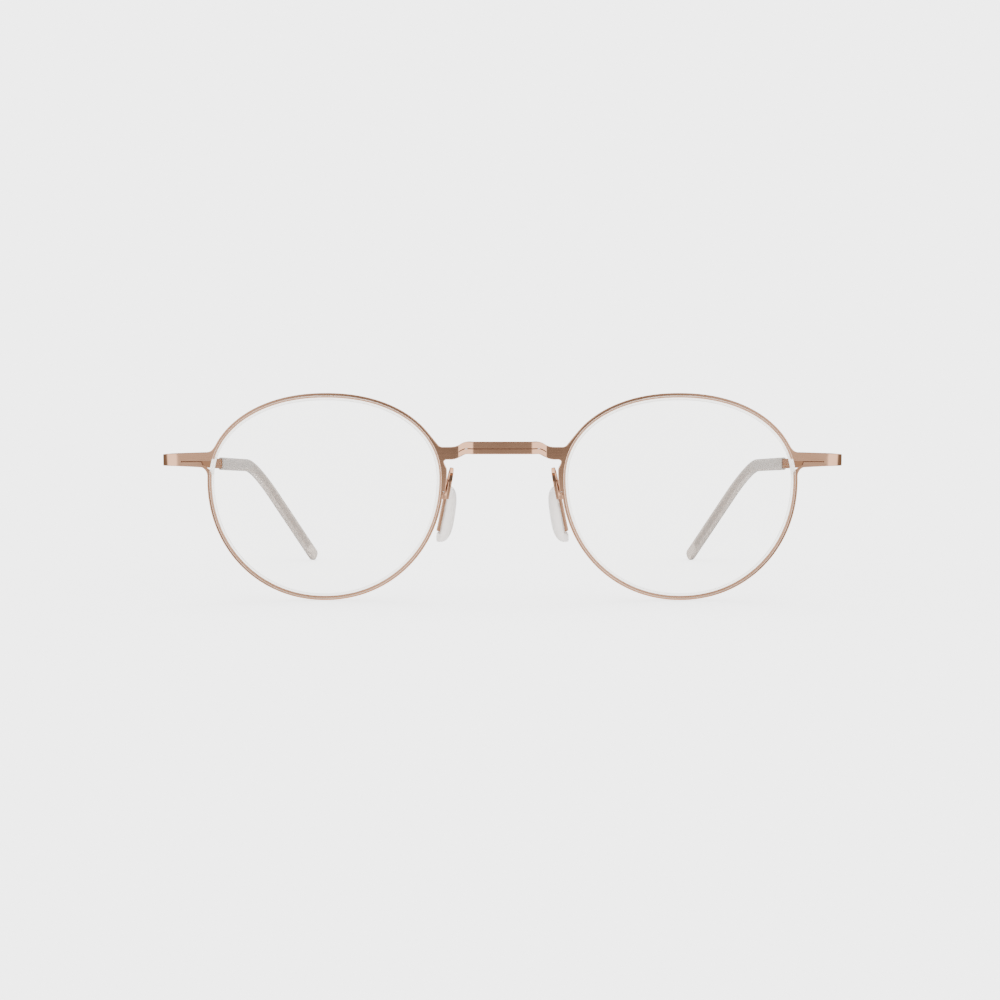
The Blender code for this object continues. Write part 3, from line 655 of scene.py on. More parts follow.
def strip_ends(path: list[Vector], radius: float, steps: int = 3) -> tuple[list[Vector], list[float]]:
    """Adds points at both ends of a path for an edge that is rounded there.

    Args:
        path: the points of the path.
        radius: the radius of the rounding.
        steps: steps of the rounding.

    Returns:
        The path with its new points, and how far the section draws in at each point.
    """
    ends = []
    for end, inner in ((path[0], path[1]), (path[-1], path[-2])):
        way = (inner - end).normalized()
        turns = [math.pi / 2 * step / steps for step in range(steps + 1)]
        rounding = [(end + way * radius * (1 - math.sin(t)), radius * (1 - math.cos(t))) for t in turns]
        ends.append(rounding[::-1])
    middle = [(point, 0.0) for point in path[1:-1]]
    both = ends[0] + middle + ends[1][::-1]
    return [point for point, _ in both], [inset for _, inset in both]


def inside(points: np.ndarray, loops: list[np.ndarray]) -> np.ndarray:
    """Which points lie inside an area with holes.

    Args:
        points: the points, one a row.
        loops: the outlines of the area and of its holes.

    Returns:
        True for each point inside.
    """
    crossings = np.zeros(len(points), int)
    for loop in loops:
        start, end = loop, np.roll(loop, -1, axis=0)
        for (x0, y0), (x1, y1) in zip(start, end):
            passes = (y0 > points[:, 1]) != (y1 > points[:, 1])
            if y0 != y1:
                at = x0 + (points[:, 1] - y0) / (y1 - y0) * (x1 - x0)
                crossings += passes & (points[:, 0] < at)
    return crossings % 2 == 1


def inset_ways(outline: list[Vector]) -> list[Vector]:
    """Ways from the points of an outline to its left side, for an inset of 1.

    Args:
        outline: the outline's points.

    Returns:
        The way at each point, longer at a corner.
    """
    normals = []
    for before, after in zip(outline, outline[1:] + outline[:1]):
        run = after.xy - before.xy
        normals.append(Vector((-run.y, run.x)).normalized())
    ways = []
    for before, after in zip(normals[-1:] + normals[:-1], normals):
        ways.append((before + after) / max(1 + before.dot(after), 0.4))
    return ways


def signed_area(outline: list[Vector]) -> float:
    """Area within an outline, positive if it runs counter-clockwise."""
    pairs = zip(outline, outline[1:] + outline[:1])
    return sum(a.x * b.y - b.x * a.y for a, b in pairs) / 2


def rounded_plate(
    outlines: list[list[Vector]], thickness: float, steps: int, cut: float = 0.0, margin: float = 0.03 * MM
) -> bmesh.types.BMesh:
    """Flat plate in X and Z with rounded edges, the middle of its thickness on Y = 0.

    Args:
        outlines: the outer outline and then the holes. Each point holds X, Z and the radius of its edge.
        thickness: the plate's thickness.
        steps: steps of each rounding.
        cut: walls whose edges have a smaller radius than this get the second finish.
        margin: width of a flat strip inside each rounding, which keeps the shading of the faces flat.

    Returns:
        The plate, to work on.
    """
    skin = Skin()
    turns = [math.pi / 2 * step / steps for step in range(steps + 1)]
    rounding = [(1 - math.cos(turn), 1 - math.sin(turn), 0.0) for turn in turns] + [(1.0, 0.0, margin)]
    profile = [(-1, *place) for place in rounding[::-1]] + [(1, *place) for place in rounding]
    caps: list[list[list[int]]] = [[], []]
    for number, outline in enumerate(outlines):
        if (signed_area(outline) > 0) == bool(number):
            outline = outline[::-1]
        ways = inset_ways(outline)
        rings = []
        for side, inset, drop, extra in profile:
            ring = []
            for point, way in zip(outline, ways):
                place = point.xy + way * (point.z * inset + extra)
                ring.append(Vector((place.x, side * (thickness / 2 - point.z * drop), place.y)))
            rings.append(skin.ring(ring))
        skin.loft(rings, [int(point.z < cut) for point in outline])
        caps[0].append(rings[0])
        caps[1].append(rings[-1])
    for loops in caps:
        for triangle in cap_triangles(skin, loops):
            skin.face(triangle)
    return skin.work()


def cap_triangles(skin: Skin, loops: list[list[int]]) -> list[tuple[int, ...]]:
    """Triangles that fill a flat cap of a plate.

    Args:
        skin: the skin that holds the points.
        loops: the numbers of the vertices of the cap's outlines.

    Returns:
        The numbers of the vertices of each triangle.
    """
    numbers = [number for loop in loops for number in loop]
    flat = [Vector((skin.points[number].x / MM, skin.points[number].z / MM)) for number in numbers]
    edges, start = [], 0
    for loop in loops:
        count = len(loop)
        edges += [(start + corner, start + (corner + 1) % count) for corner in range(count)]
        start += count
    places, _, triangles, sources, _, _ = delaunay_2d_cdt(flat, edges, [], 0, WELD / MM)
    middles = np.array([sum((places[corner] for corner in t), Vector((0, 0))) / 3 for t in triangles])
    areas = np.split(np.array(flat), np.cumsum([len(loop) for loop in loops])[:-1])
    kept = [t for t, within in zip(triangles, inside(middles, areas)) if within]
    return [tuple(numbers[sources[corner][0]] for corner in triangle) for triangle in kept]


# Outlines and paths


def ramp(value: float, start: float, end: float) -> float:
    """Smooth rise from 0 at start to 1 at end."""
    share = np.clip((value - start) / (end - start), 0, 1)
    return share * share * (3 - 2 * share)


def bezier(start: Vector, lead: Vector, follow: Vector, end: Vector, steps: int = 12) -> list[Vector]:
    """Points of a cubic curve, with both ends.

    Args:
        start: its first point.
        lead: the handle of the first point.
        follow: the handle of the last point.
        end: its last point.
        steps: steps along it.

    Returns:
        The points.
    """
    points = []
    for step in range(steps + 1):
        t = step / steps
        u = 1 - t
        points.append(u**3 * start + 3 * u * u * t * lead + 3 * u * t * t * follow + t**3 * end)
    return points


def blend(start: Vector, start_way: Vector, end: Vector, end_way: Vector, pull: float = 0.39) -> list[Vector]:
    """Smooth curve between two points.

    Args:
        start: its first point.
        start_way: the way along which it leaves.
        end: its last point.
        end_way: the way along which it arrives.
        pull: the length of its handles over the distance between the points.

    Returns:
        The points, with both ends.
    """
    handle = pull * (end - start).length
    return bezier(start, start + handle * start_way, end - handle * end_way, end)


def rounded_path(corners: list[Vector], radii: list[float], steps: int) -> list[Vector]:
    """Straight runs joined by arcs.

    Args:
        corners: the ends of the path and the corners between them.
        radii: the radius at each corner.
        steps: steps of each arc.

    Returns:
        The points of the path.
    """
    points = [corners[0]]
    for before, corner, after, radius in zip(corners, corners[1:], corners[2:], radii):
        arrive, leave = (corner - before).normalized(), (after - corner).normalized()
        turn = arrive.angle(leave)
        inward = (leave - arrive * arrive.dot(leave)).normalized()
        start = corner - arrive * radius * math.tan(turn / 2)
        for step in range(steps + 1):
            angle = turn * step / steps
            points.append(start + radius * (arrive * math.sin(angle) + inward * (1 - math.cos(angle))))
    return points + [corners[-1]]


def part_of_path(path: list[Vector], start: float, end: float, spacing: float) -> list[Vector]:
    """The stretch of a path between two lengths along it, with points at an even spacing.

    Args:
        path: the points of the path.
        start: the length where the stretch starts.
        end: the length where it ends.
        spacing: the widest spacing of its points.

    Returns:
        The points of the stretch.
    """
    lengths = [0.0]
    for before, after in zip(path, path[1:]):
        lengths.append(lengths[-1] + (after - before).length)
    count = math.ceil((end - start) / spacing)
    points = []
    for step in range(count + 1):
        length = start + (end - start) * step / count
        index = min(max(bisect_right(lengths, length) - 1, 0), len(path) - 2)
        share = (length - lengths[index]) / (lengths[index + 1] - lengths[index])
        points.append(path[index].lerp(path[index + 1], share))
    return points


def path_length(path: list[Vector]) -> float:
    """Length along a path."""
    return sum((after - before).length for before, after in zip(path, path[1:]))


def edged(points: list[Vector], radius: float) -> list[Vector]:
    """Points of an outline, each with the radius of its edge as its third number."""
    return [Vector((point.x, point.y, radius)) for point in points]


@dataclass(frozen=True)
class LensShape:
    """Outline of a lens opening about its middle, with the temporal side at +X.

    Attributes:
        spacing: from one opening to the other.
        widest_rise: the widest line lies this far above the middle.
        upper_fullness: 2 is an ellipse, more is squarer, above the widest line.
        lower_fullness: the same below it.
        lean: shift towards the nose over height.
    """

    width: float = 45.6 * MM
    height: float = 40.1 * MM
    spacing: float = 25.4 * MM
    widest_rise: float = 3.6 * MM
    upper_fullness: float = 2.135
    lower_fullness: float = 2.065
    lean: float = 0.013
    steps: int = 240

    @property
    def middle_x(self) -> float:
        """From the middle of the front to the middle of the opening."""
        return (self.spacing + self.width) / 2

    def point(self, turn: float, grow: float = 0.0) -> Vector:
        """Point of the outline.

        Args:
            turn: 0 on the temporal side, a quarter turn at the top.
            grow: how far the outline is moved out.

        Returns:
            The point.
        """
        x, y = math.cos(turn), math.sin(turn)
        half_width = self.width / 2
        half_height = self.height / 2 - math.copysign(self.widest_rise, y)
        fullness = self.upper_fullness if y > 0 else self.lower_fullness
        across = math.copysign(abs(x) ** (2 / fullness), x)
        up = math.copysign(abs(y) ** (2 / fullness), y)
        height = self.widest_rise + half_height * up
        normal_x = math.copysign(abs(across) ** (fullness - 1), x) / half_width
        normal_y = math.copysign(abs(up) ** (fullness - 1), y) / half_height + self.lean * normal_x
        normal = Vector((normal_x, normal_y)).normalized()
        return Vector((half_width * across - self.lean * height, height)) + grow * normal

    def outline(self, grow: float) -> list[Vector]:
        """The whole outline, moved out by grow."""
        return [self.point(math.tau * step / self.steps, grow) for step in range(self.steps)]

    def arc(self, start: float, end: float, grow: float) -> list[Vector]:
        """Part of the outline.

        Args:
            start: the turn where it starts.
            end: the turn where it ends.
            grow: how far the outline is moved out.

        Returns:
            The points, with both ends.
        """
        count = math.ceil(abs(end - start) / math.tau * self.steps)
        return [self.point(start + (end - start) * step / count, grow) for step in range(count + 1)]

    def turn_at(self, height: float, grow: float, low_turn: float, high_turn: float) -> float:
        """Turn at which the outline passes a height.

        Args:
            height: the height above the middle.
            grow: how far the outline is moved out.
            low_turn: the turn where the search starts.
            high_turn: the turn where it ends.

        Returns:
            The turn.
        """
        rising = self.point(high_turn, grow).y > self.point(low_turn, grow).y
        while high_turn - low_turn > WELD:
            middle = (low_turn + high_turn) / 2
            if (self.point(middle, grow).y < height) == rising:
                low_turn = middle
            else:
                high_turn = middle
        return low_turn

    def clockwise(self, turn: float, grow: float) -> Vector:
        """Way along the outline at a turn, clockwise."""
        small = 0.01 * math.tau / self.steps
        return (self.point(turn - small, grow) - self.point(turn + small, grow)).normalized()


class BentLine:
    """Plan of a bent sheet: its middle line, with the developed length and the way across at each point."""

    def __init__(self, points: list[Vector], start: float) -> None:
        """Measures the line.

        Args:
            points: the middle line's points.
            start: the developed length at the first one.
        """
        self.points = points
        self.lengths = [start]
        across = []
        for before, after in zip(points, points[1:]):
            run = after - before
            self.lengths.append(self.lengths[-1] + run.length)
            across.append(Vector((-run.y, run.x)).normalized())
        middle = [(a + b) / (1 + a.dot(b)) for a, b in zip(across, across[1:])]
        self.across = [across[0], *middle, across[-1]]

    def fold(self, flat: Vector) -> Vector:
        """Place in the bent sheet of a point of the flat one.

        Args:
            flat: developed length, depth and height.

        Returns:
            The place.
        """
        index = min(max(bisect_right(self.lengths, flat.x) - 1, 0), len(self.points) - 2)
        share = (flat.x - self.lengths[index]) / (self.lengths[index + 1] - self.lengths[index])
        middle = self.points[index].lerp(self.points[index + 1], share)
        plan = middle + flat.y * self.across[index].lerp(self.across[index + 1], share)
        return Vector((plan.x, plan.y, flat.z))

    def unfold(self, x: float) -> float:
        """Developed length at which the middle line first reaches a sideways place."""
        index = next(index for index, point in enumerate(self.points) if point.x >= x)
        before, after = self.points[index - 1], self.points[index]
        share = (x - before.x) / (after.x - before.x)
        return self.lengths[index - 1] + share * (self.lengths[index] - self.lengths[index - 1])


# Pieces


def show(
    name: str,
    mesh: bpy.types.Mesh,
    place: Matrix,
    body: str,
    stands_for: str,
    finishes: list[Finish],
    slot: Slot,
) -> bpy.types.Object:
    """Shows a piece in the place of a solid.

    Args:
        name: the piece's name.
        mesh: its mesh, in its own frame.
        place: that frame.
        body: the body that it rides on.
        stands_for: the solid that it replaces.
        finishes: its finishes, in the order of the mesh's material numbers.
        slot: the record's slot for the piece; not used.

    Returns:
        The piece.
    """
    mesh.name = name
    numbers = [face.material_index for face in mesh.polygons]
    mesh.materials.clear()
    for finish in finishes:
        mesh.materials.append(finish.material())
    mesh.polygons.foreach_set("material_index", numbers)
    piece = bpy.data.objects.new(name, mesh)
    bpy.context.scene.collection.objects.link(piece)
    piece.matrix_world = place
    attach(piece, body)
    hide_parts(stands_for)
    log.info("%s: %d faces, on %s in place of %s", name, len(mesh.polygons), body, stands_for)
    return piece


def mirrored(mesh: bpy.types.Mesh) -> bpy.types.Mesh:
    """The same mesh for the other side."""
    copy = mesh.copy()
    copy.transform(MIRROR)
    copy.flip_normals()
    return copy


def on_side(mesh: bpy.types.Mesh, place: Matrix, side: Side) -> tuple[bpy.types.Mesh, Matrix]:
    """Mesh and frame of a piece on one side.

    Args:
        mesh: the left piece's mesh.
        place: the left piece's frame.
        side: the side to show.

    Returns:
        The mesh and its frame, mirrored for the right.
    """
    if side is Side.LEFT:
        return mesh.copy(), place
    return mirrored(mesh), MIRROR @ place @ MIRROR


def shaded(mesh: bpy.types.Mesh, sharp: float) -> bpy.types.Mesh:
    """Shades a mesh smooth, apart from edges sharper than an angle in degrees."""
    mesh.shade_smooth()
    mesh.set_sharp_from_angle(angle=math.radians(sharp))
    return mesh


def flatten_shading(piece: bpy.types.Object) -> None:
    """Lets the large flat faces of a piece set its shading, so that only its rounded edges turn."""
    weighted = piece.modifiers.new("flat faces", "WEIGHTED_NORMAL")
    weighted.weight = 100
    weighted.keep_sharp = True


def mount(name: str) -> tuple[Vector, Vector]:
    """Place and axis of one of the record's mounts."""
    found = next(entry for entry in frame["record"]["mounts"] if entry["name"] == name)
    return Vector(found["pos_m"]), Vector(found["axis"])


def fold_axis(side: Side) -> tuple[Vector, Vector]:
    """Place and axis of the joint that folds a temple."""
    found = next(joint for joint in frame["joints"] if joint["name"] == f"{side.label}_temple_fold")
    return Vector(found["pos_m"]), Vector(found["axis"])


@dataclass(frozen=True)
class FrontSheet:
    """Both rims, the bridge and both end pieces: one sheet of steel, cut out and bent."""

    lens: LensShape = LensShape()
    thickness: float = 0.8 * MM
    rim_width: float = 0.88 * MM
    edge: float = 0.12 * MM  # radius to which the edges are tumbled
    hook_edge: float = 0.10 * MM
    shelf_edge: float = 0.05 * MM
    slit_edge: float = 0.045 * MM
    bridge_height: float = 2.5 * MM
    bridge_rise: float = 10.1 * MM
    bridge_flat: float = 12.0 * MM
    facet_run: float = 2.6 * MM
    bridge_step: float = 1.6 * MM
    bridge_drop: float = 1.27 * MM
    fall_lag: float = 0.5 * MM
    fall_run: float = 4.0 * MM
    facet_radius: float = 1.0 * MM
    bridge_top_fillet: float = 0.6 * MM
    neck_rise: float = 3.3 * MM  # the rim starts to widen this far above the bridge
    neck_width: float = 0.55 * MM
    bridge_lower_fillet: float = 0.6 * MM
    bridge_slit_drop: float = 0.15 * MM
    slit_width: float = 0.06 * MM
    bridge_roll: float = 0.65  # its lower edge lies back
    swell: float = 0.7 * MM
    swell_rise: float = 5.2 * MM
    neck_swell: float = 0.35 * MM
    shelf_swell: float = 0.45 * MM
    shelf_height: float = 0.2 * MM
    shelf_foot: float = 1.05 * MM
    end_reach: float = 9.8 * MM
    end_rise: float = 7.56 * MM
    end_height: float = 2.6 * MM
    end_root_height: float = 2.95 * MM
    flap_height: float = 2.25 * MM
    end_radius: float = 3.0 * MM
    end_top_reach: float = 1.0 * MM
    end_bottom_reach: float = 2.4 * MM
    end_fillet_rise: float = 1.8 * MM
    end_slit_drop: float = 0.37 * MM
    end_slit_reach: float = 5.9 * MM
    relief_radius: float = 0.09 * MM
    flap_length: float = 9.9 * MM
    hook_reach: float = 1.9 * MM
    hook_drop: float = 2.6 * MM
    hook_fillet: float = 1.9 * MM
    mouth_reach: float = 0.6 * MM
    mouth_height: float = 0.45 * MM
    joint_gap: float = 0.1 * MM
    tilt: float = 8.0
    temple_yaw: float = 4.0
    past_middle: float = 0.5 * MM
    bend_steps: int = 20
    round_steps: int = 4

    def place(self) -> Matrix:
        """Frame of the front: X to the left side, Y back, Z up along the sheet.

        Returns:
            The frame, with its origin between the middles of the two openings.
        """
        under_bridge, down = mount("bridge_underside")
        right, up = Vector((1, 0, 0)), -down
        back = up.cross(right)
        middle = under_bridge + back * self.bridge_step - up * (self.bridge_rise - self.bridge_height / 2)
        turn = Matrix((right, back, up)).transposed().to_4x4()
        return Matrix.Translation(middle) @ turn

    def plan(self) -> BentLine:
        """Plan of the left half, from just past the middle to the end of the flap.

        Returns:
            The bent line.
        """
        yaw = math.radians(self.temple_yaw)
        corner = Vector((self.lens.middle_x + self.lens.width / 2 + self.end_reach, 0))
        flap = self.flap_length + self.end_height
        corners = [
            Vector((-self.past_middle, -self.bridge_step)),
            Vector((self.bridge_flat / 2, -self.bridge_step)),
            Vector((self.bridge_flat / 2 + self.facet_run, 0)),
            corner,
            corner + flap * Vector((-math.sin(yaw), math.cos(yaw))),
        ]
        radii = [self.facet_radius, self.facet_radius, self.end_radius]
        return BentLine(rounded_path(corners, radii, self.bend_steps), -self.past_middle)

    def bridge_edge(self, plan: BentLine, offset: float) -> list[Vector]:
        """Line along the bridge.

        Args:
            plan: the sheet's plan.
            offset: the line's height above the middle of the bridge.

        Returns:
            The points, from past the middle of the front outwards.
        """
        fall = self.bridge_flat / 2 + self.fall_lag
        start, end = plan.unfold(fall), plan.unfold(fall + self.fall_run)
        high = self.bridge_rise + offset
        low = high - self.bridge_drop
        middle = (start + end) / 2
        step = bezier(Vector((start, high)), Vector((middle, high)), Vector((middle, low)), Vector((end, low)))
        return [Vector((-self.past_middle, high)), *step]

    def end_edge(self, plan: BentLine, root: float, side: int) -> list[Vector]:
        """Upper or lower edge of an end piece, from its root to the end of its flap.

        The edge stays level when the front tilts, so it falls across the sheet as the sheet bends back.

        Args:
            plan: the sheet's plan.
            root: the developed length where the edge starts.
            side: 1 for the upper edge, -1 for the lower one.

        Returns:
            The points.
        """
        tilt = math.radians(self.tilt)
        slant = side * self.flap_height / 2 * math.sin(tilt) * math.cos(tilt)
        flap_end = plan.lengths[-1] - self.end_height - self.joint_gap + slant
        points = [Vector((root, self.end_rise + side * self.end_root_height / 2))]
        bend_start = len(plan.points) - self.bend_steps - 2
        for step, length in enumerate([*plan.lengths[bend_start:-1], flap_end]):
            depth = plan.fold(Vector((length, 0, 0))).y
            narrowing = (self.end_height - self.flap_height) * min(step / self.bend_steps, 1)
            half = (self.end_height - narrowing) / 2
            points.append(Vector((length, self.end_rise + side * half - depth * math.tan(tilt))))
        return points

    def outline(self, plan: BentLine) -> list[Vector]:
        """Outer outline of the left half of the flat sheet, clockwise from the top of the bridge.

        Args:
            plan: the sheet's plan.

        Returns:
            The points, each with the radius of its edge.
        """
        lens, rim = self.lens, self.rim_width
        eye = Vector((plan.unfold(lens.middle_x), 0))
        right, left, up = Vector((1, 0)), Vector((-1, 0)), Vector((0, 1))
        half = self.bridge_height / 2
        tab_top = self.bridge_rise - self.bridge_drop + half
        tab_bottom = tab_top - self.bridge_height

        points = self.bridge_edge(plan, half)
        corner = lens.point(lens.turn_at(tab_top, rim, math.pi / 2, math.pi), rim)
        nasal = lens.turn_at(tab_top + self.neck_rise, rim, math.pi / 2, math.pi)
        neck, foot = eye + lens.point(nasal, rim), eye + corner + self.neck_width * left
        neck_way = (neck - foot).normalized()
        bend = foot + self.bridge_top_fillet * neck_way
        points += blend(foot + self.bridge_top_fillet * left, right, bend, neck_way)[:-1]
        points += blend(bend, neck_way, neck, lens.clockwise(nasal, rim))[:-1]

        edge = eye.x + lens.width / 2
        top_edge = self.end_edge(plan, edge + self.end_top_reach, 1)
        bottom_edge = self.end_edge(plan, edge + self.end_bottom_reach, -1)
        temporal = lens.turn_at(top_edge[0].y + self.end_fillet_rise, rim, 0, math.pi / 2)
        arc = [eye + point for point in lens.arc(nasal, temporal, rim)]
        points += arc[:-1]
        points += blend(arc[-1], lens.clockwise(temporal, rim), top_edge[0], right)[:-1]
        points += top_edge + bottom_edge[:0:-1]
        shape = edged(points, self.edge)

        hook = lens.turn_at(bottom_edge[0].y - self.hook_fillet, rim, 0, math.pi / 2)
        neck = blend(bottom_edge[0], left, eye + lens.point(hook, rim), lens.clockwise(hook, rim))
        shape += edged(neck[:-1], self.hook_edge)
        foot = lens.turn_at(self.shelf_foot, rim, -math.pi, -math.pi / 2)
        arc = [eye + point for point in lens.arc(hook, foot, rim)]
        shelf_turn = lens.turn_at(self.shelf_foot + self.shelf_height, rim, -math.pi, -math.pi / 2)
        shelf, shelf_way = eye + lens.point(shelf_turn, rim + self.shelf_swell), lens.clockwise(shelf_turn, rim)
        swell_turn = lens.turn_at(self.swell_rise, rim, math.pi / 2, math.pi)
        swell = eye + lens.point(swell_turn, rim + self.swell)
        neck_turn = lens.turn_at(tab_bottom - self.bridge_lower_fillet, rim, math.pi / 2, math.pi)
        neck, neck_way = eye + lens.point(neck_turn, rim + self.neck_swell), lens.clockwise(neck_turn, rim)
        shape += edged(arc[:-1], self.edge)
        shape += edged(blend(arc[-1], lens.clockwise(foot, rim), shelf, shelf_way)[:-1], self.shelf_edge)
        points = blend(shelf, shelf_way, swell, up)[:-1]
        points += blend(swell, up, neck, neck_way)[:-1]
        points += blend(neck, neck_way, Vector((neck.x - self.bridge_lower_fillet, tab_bottom)), left)
        points += self.bridge_edge(plan, -half)[::-1]

        slit_end = len(self.bridge_edge(plan, 0)) * 2 // 3
        below = self.bridge_edge(plan, -self.bridge_slit_drop - self.slit_width / 2)[:slit_end]
        above = self.bridge_edge(plan, -self.bridge_slit_drop + self.slit_width / 2)[:slit_end]
        return shape + edged(points, self.edge) + edged(below + above[::-1], self.slit_edge)

    def opening(self, plan: BentLine) -> list[Vector]:
        """Lens opening of the left half of the flat sheet, with the split that runs into the end piece.

        Args:
            plan: the sheet's plan.

        Returns:
            The points, each with the radius of its edge.
        """
        lens = self.lens
        eye = Vector((plan.unfold(lens.middle_x), 0))
        edge = eye.x + lens.width / 2
        slit = self.end_rise - self.end_slit_drop
        slit_top, slit_bottom = slit + self.slit_width / 2, slit - self.slit_width / 2

        mouth_top = slit_top + self.mouth_height
        upper = lens.turn_at(mouth_top, 0, 0, math.pi / 2)
        hook_turn = lens.turn_at(slit_bottom - self.hook_drop, 0, 0, math.pi / 2)
        rim = [eye + point for point in lens.arc(upper, math.tau + hook_turn, 0)]
        hook_end = Vector((edge + self.hook_reach, slit_bottom, self.slit_edge))
        rim_end = Vector((*rim[-1], self.hook_edge))
        hook_way = lens.clockwise(hook_turn, 0).to_3d()
        hook = blend(hook_end, Vector((0, -1, 0)), rim_end, hook_way)

        relief = Vector((edge + self.end_slit_reach, slit))
        gape = math.asin(self.slit_width / 2 / self.relief_radius)
        circle = []
        for step in range(self.bend_steps + 1):
            turn = gape - math.pi + (math.tau - 2 * gape) * step / self.bend_steps
            circle.append(relief + self.relief_radius * Vector((math.cos(turn), math.sin(turn))))
        mouth = rim[0].x + self.mouth_reach
        corners = [Vector((mouth, slit_top, self.slit_edge)), Vector((mouth, mouth_top, self.hook_edge))]
        return edged(rim, self.edge) + hook[-2::-1] + edged(circle, self.slit_edge) + corners

    def mouth(self) -> tuple[float, float]:
        """Heights between which the rim stands open and leaves the edge of the lens bare."""
        slit = self.end_rise - self.end_slit_drop
        return slit - self.hook_drop, slit + self.mouth_height

    def roll(self, plan: BentLine, flat: Vector) -> Vector:
        """How far the roll of the bridge brings a point of the flat sheet forward.

        Args:
            plan: the sheet's plan.
            flat: the point.

        Returns:
            The shift.
        """
        start, end = self.bridge_flat / 2, plan.unfold(self.bridge_flat / 2 + self.facet_run)
        share = 1 - ramp(flat.x, start, end)
        return Vector((0, share * math.tan(math.radians(self.bridge_roll)) * (flat.z - self.bridge_rise), 0))

    def mesh(self) -> bpy.types.Mesh:
        """Cuts the left half out of flat sheet, bends it and mirrors it.

        Returns:
            The mesh of the whole front.
        """
        plan = self.plan()
        outlines = [self.outline(plan), self.opening(plan)]
        # Walls whose edges have a radius under shelf_edge (the slits, the relief hole and the thin end of the hook)
        # take the second finish: painted shade
        work = rounded_plate(outlines, self.thickness, self.round_steps, self.shelf_edge)
        cuts = [(length, False) for length in plan.lengths[1:-1]] + [(0.0, True)]
        for length, clear in sorted(cuts):
            geometry = work.verts[:] + work.edges[:] + work.faces[:]
            bmesh.ops.bisect_plane(
                work, geom=geometry, dist=WELD, plane_co=(length, 0, 0), plane_no=(1, 0, 0), clear_inner=clear
            )
        for vertex in work.verts:
            vertex.co = plan.fold(vertex.co - self.roll(plan, vertex.co))
        half = work.verts[:] + work.edges[:] + work.faces[:]
        other = bmesh.ops.duplicate(work, geom=half)["geom"]
        turned_over = [part for part in other if isinstance(part, bmesh.types.BMVert)]
        bmesh.ops.transform(work, matrix=MIRROR, verts=turned_over)
        bmesh.ops.remove_doubles(work, verts=work.verts, dist=WELD)
        bmesh.ops.recalc_face_normals(work, faces=work.faces)
        return shaded(mesh_of(work), 60)

    def build(self) -> None:
        """Shows the front."""
        piece = show(
            "bent_front",
            self.mesh(),
            self.place(),
            "front",
            "front_frame",
            [FRONT_STEEL, SLIT_PAINTED_SHADE],
            Slot.ROSE_STEEL,
        )
        flatten_shading(piece)


@dataclass(frozen=True)
class GroovedLens:
    """A clear lens whose edge is ground to the opening, with a groove for the sheet of the rim."""

    front: FrontSheet
    thickness: float = 2.0 * MM
    radius: float = 200.0 * MM
    lip: float = 0.45 * MM
    groove_depth: float = 0.5 * MM
    clearance: float = 0.1 * MM
    chamfer: float = 0.10 * MM
    rings: int = 20

    def depth(self, point: Vector) -> float:
        """How far the front face stands in front of the middle of the sheet at a point."""
        rim_radius = (self.front.lens.width + self.front.lens.height) / 4
        sphere = math.sqrt(self.radius**2 - point.length_squared)
        return sphere - math.sqrt(self.radius**2 - rim_radius**2) + self.thickness / 2

    def mesh(self) -> bpy.types.Mesh:
        """Draws the lens from the middle of its front face, round its edge, to the middle of its back.

        Returns:
            The mesh, with its polished faces first and its ground edge second.
        """
        shape = self.front.lens
        skin = Skin()
        middle = Vector((shape.middle_x, 0, 0))

        def ring(grow: float, depth: float | None, back: bool, inset: float = 0.0, share: float = 1.0) -> list[int]:
            """Ring at a depth behind the middle of the sheet, or on a face of the lens."""
            points = []
            for flat in shape.outline(grow):
                flat = flat * share
                face = self.thickness * back - self.depth(flat)
                place = face + inset * (-1 if back else 1) if depth is None else depth
                points.append(middle + Vector((flat.x, place, flat.y)))
            return skin.ring(points)

        groove = self.front.thickness / 2 + self.clearance
        face_edge = self.lip - self.chamfer
        shares = [1 - (step / self.rings) ** 2 for step in range(self.rings)]
        front_pole = skin.ring([middle - Vector((0, self.depth(Vector((0, 0))), 0))])
        back_pole = skin.ring([middle + Vector((0, self.thickness - self.depth(Vector((0, 0))), 0))])
        front_face = [front_pole] + [ring(face_edge, None, False, share=share) for share in shares[::-1]]
        back_face = [ring(face_edge, None, True, share=share) for share in shares] + [back_pole]
        front_edge = [
            front_face[-1], ring(self.lip, None, False, inset=self.chamfer), ring(self.lip, -groove, False)
        ]
        front_wall = [front_edge[-1], ring(-self.groove_depth, -groove, False)]
        back_edge = [
            front_wall[-1],
            ring(-self.groove_depth, groove, True),
            ring(self.lip, groove, True),
            ring(self.lip, None, True, inset=self.chamfer),
            back_face[0],
        ]
        low, high = self.front.mouth()
        bare = [int(flat.x > 0 and low < flat.y < high) for flat in shape.outline(0)]
        for rings, finish in ((front_face, 0), (front_edge, 1), (front_wall, bare), (back_edge, 1), (back_face, 0)):
            skin.loft(rings, finish)
        return shaded(skin.mesh(), 25)

    def build(self) -> None:
        """Shows both lenses."""
        mesh = self.mesh()
        for side in Side:
            own, place = on_side(mesh, self.front.place(), side)
            piece = show(
                f"{side.label}_grooved_lens",
                own,
                place,
                "front",
                f"{side.label}_lens",
                [LENS_RESIN, LENS_EDGE],
                Slot.LENS,
            )
            piece.visible_glossy = False  # so that the rim under the lip mirrors the tent


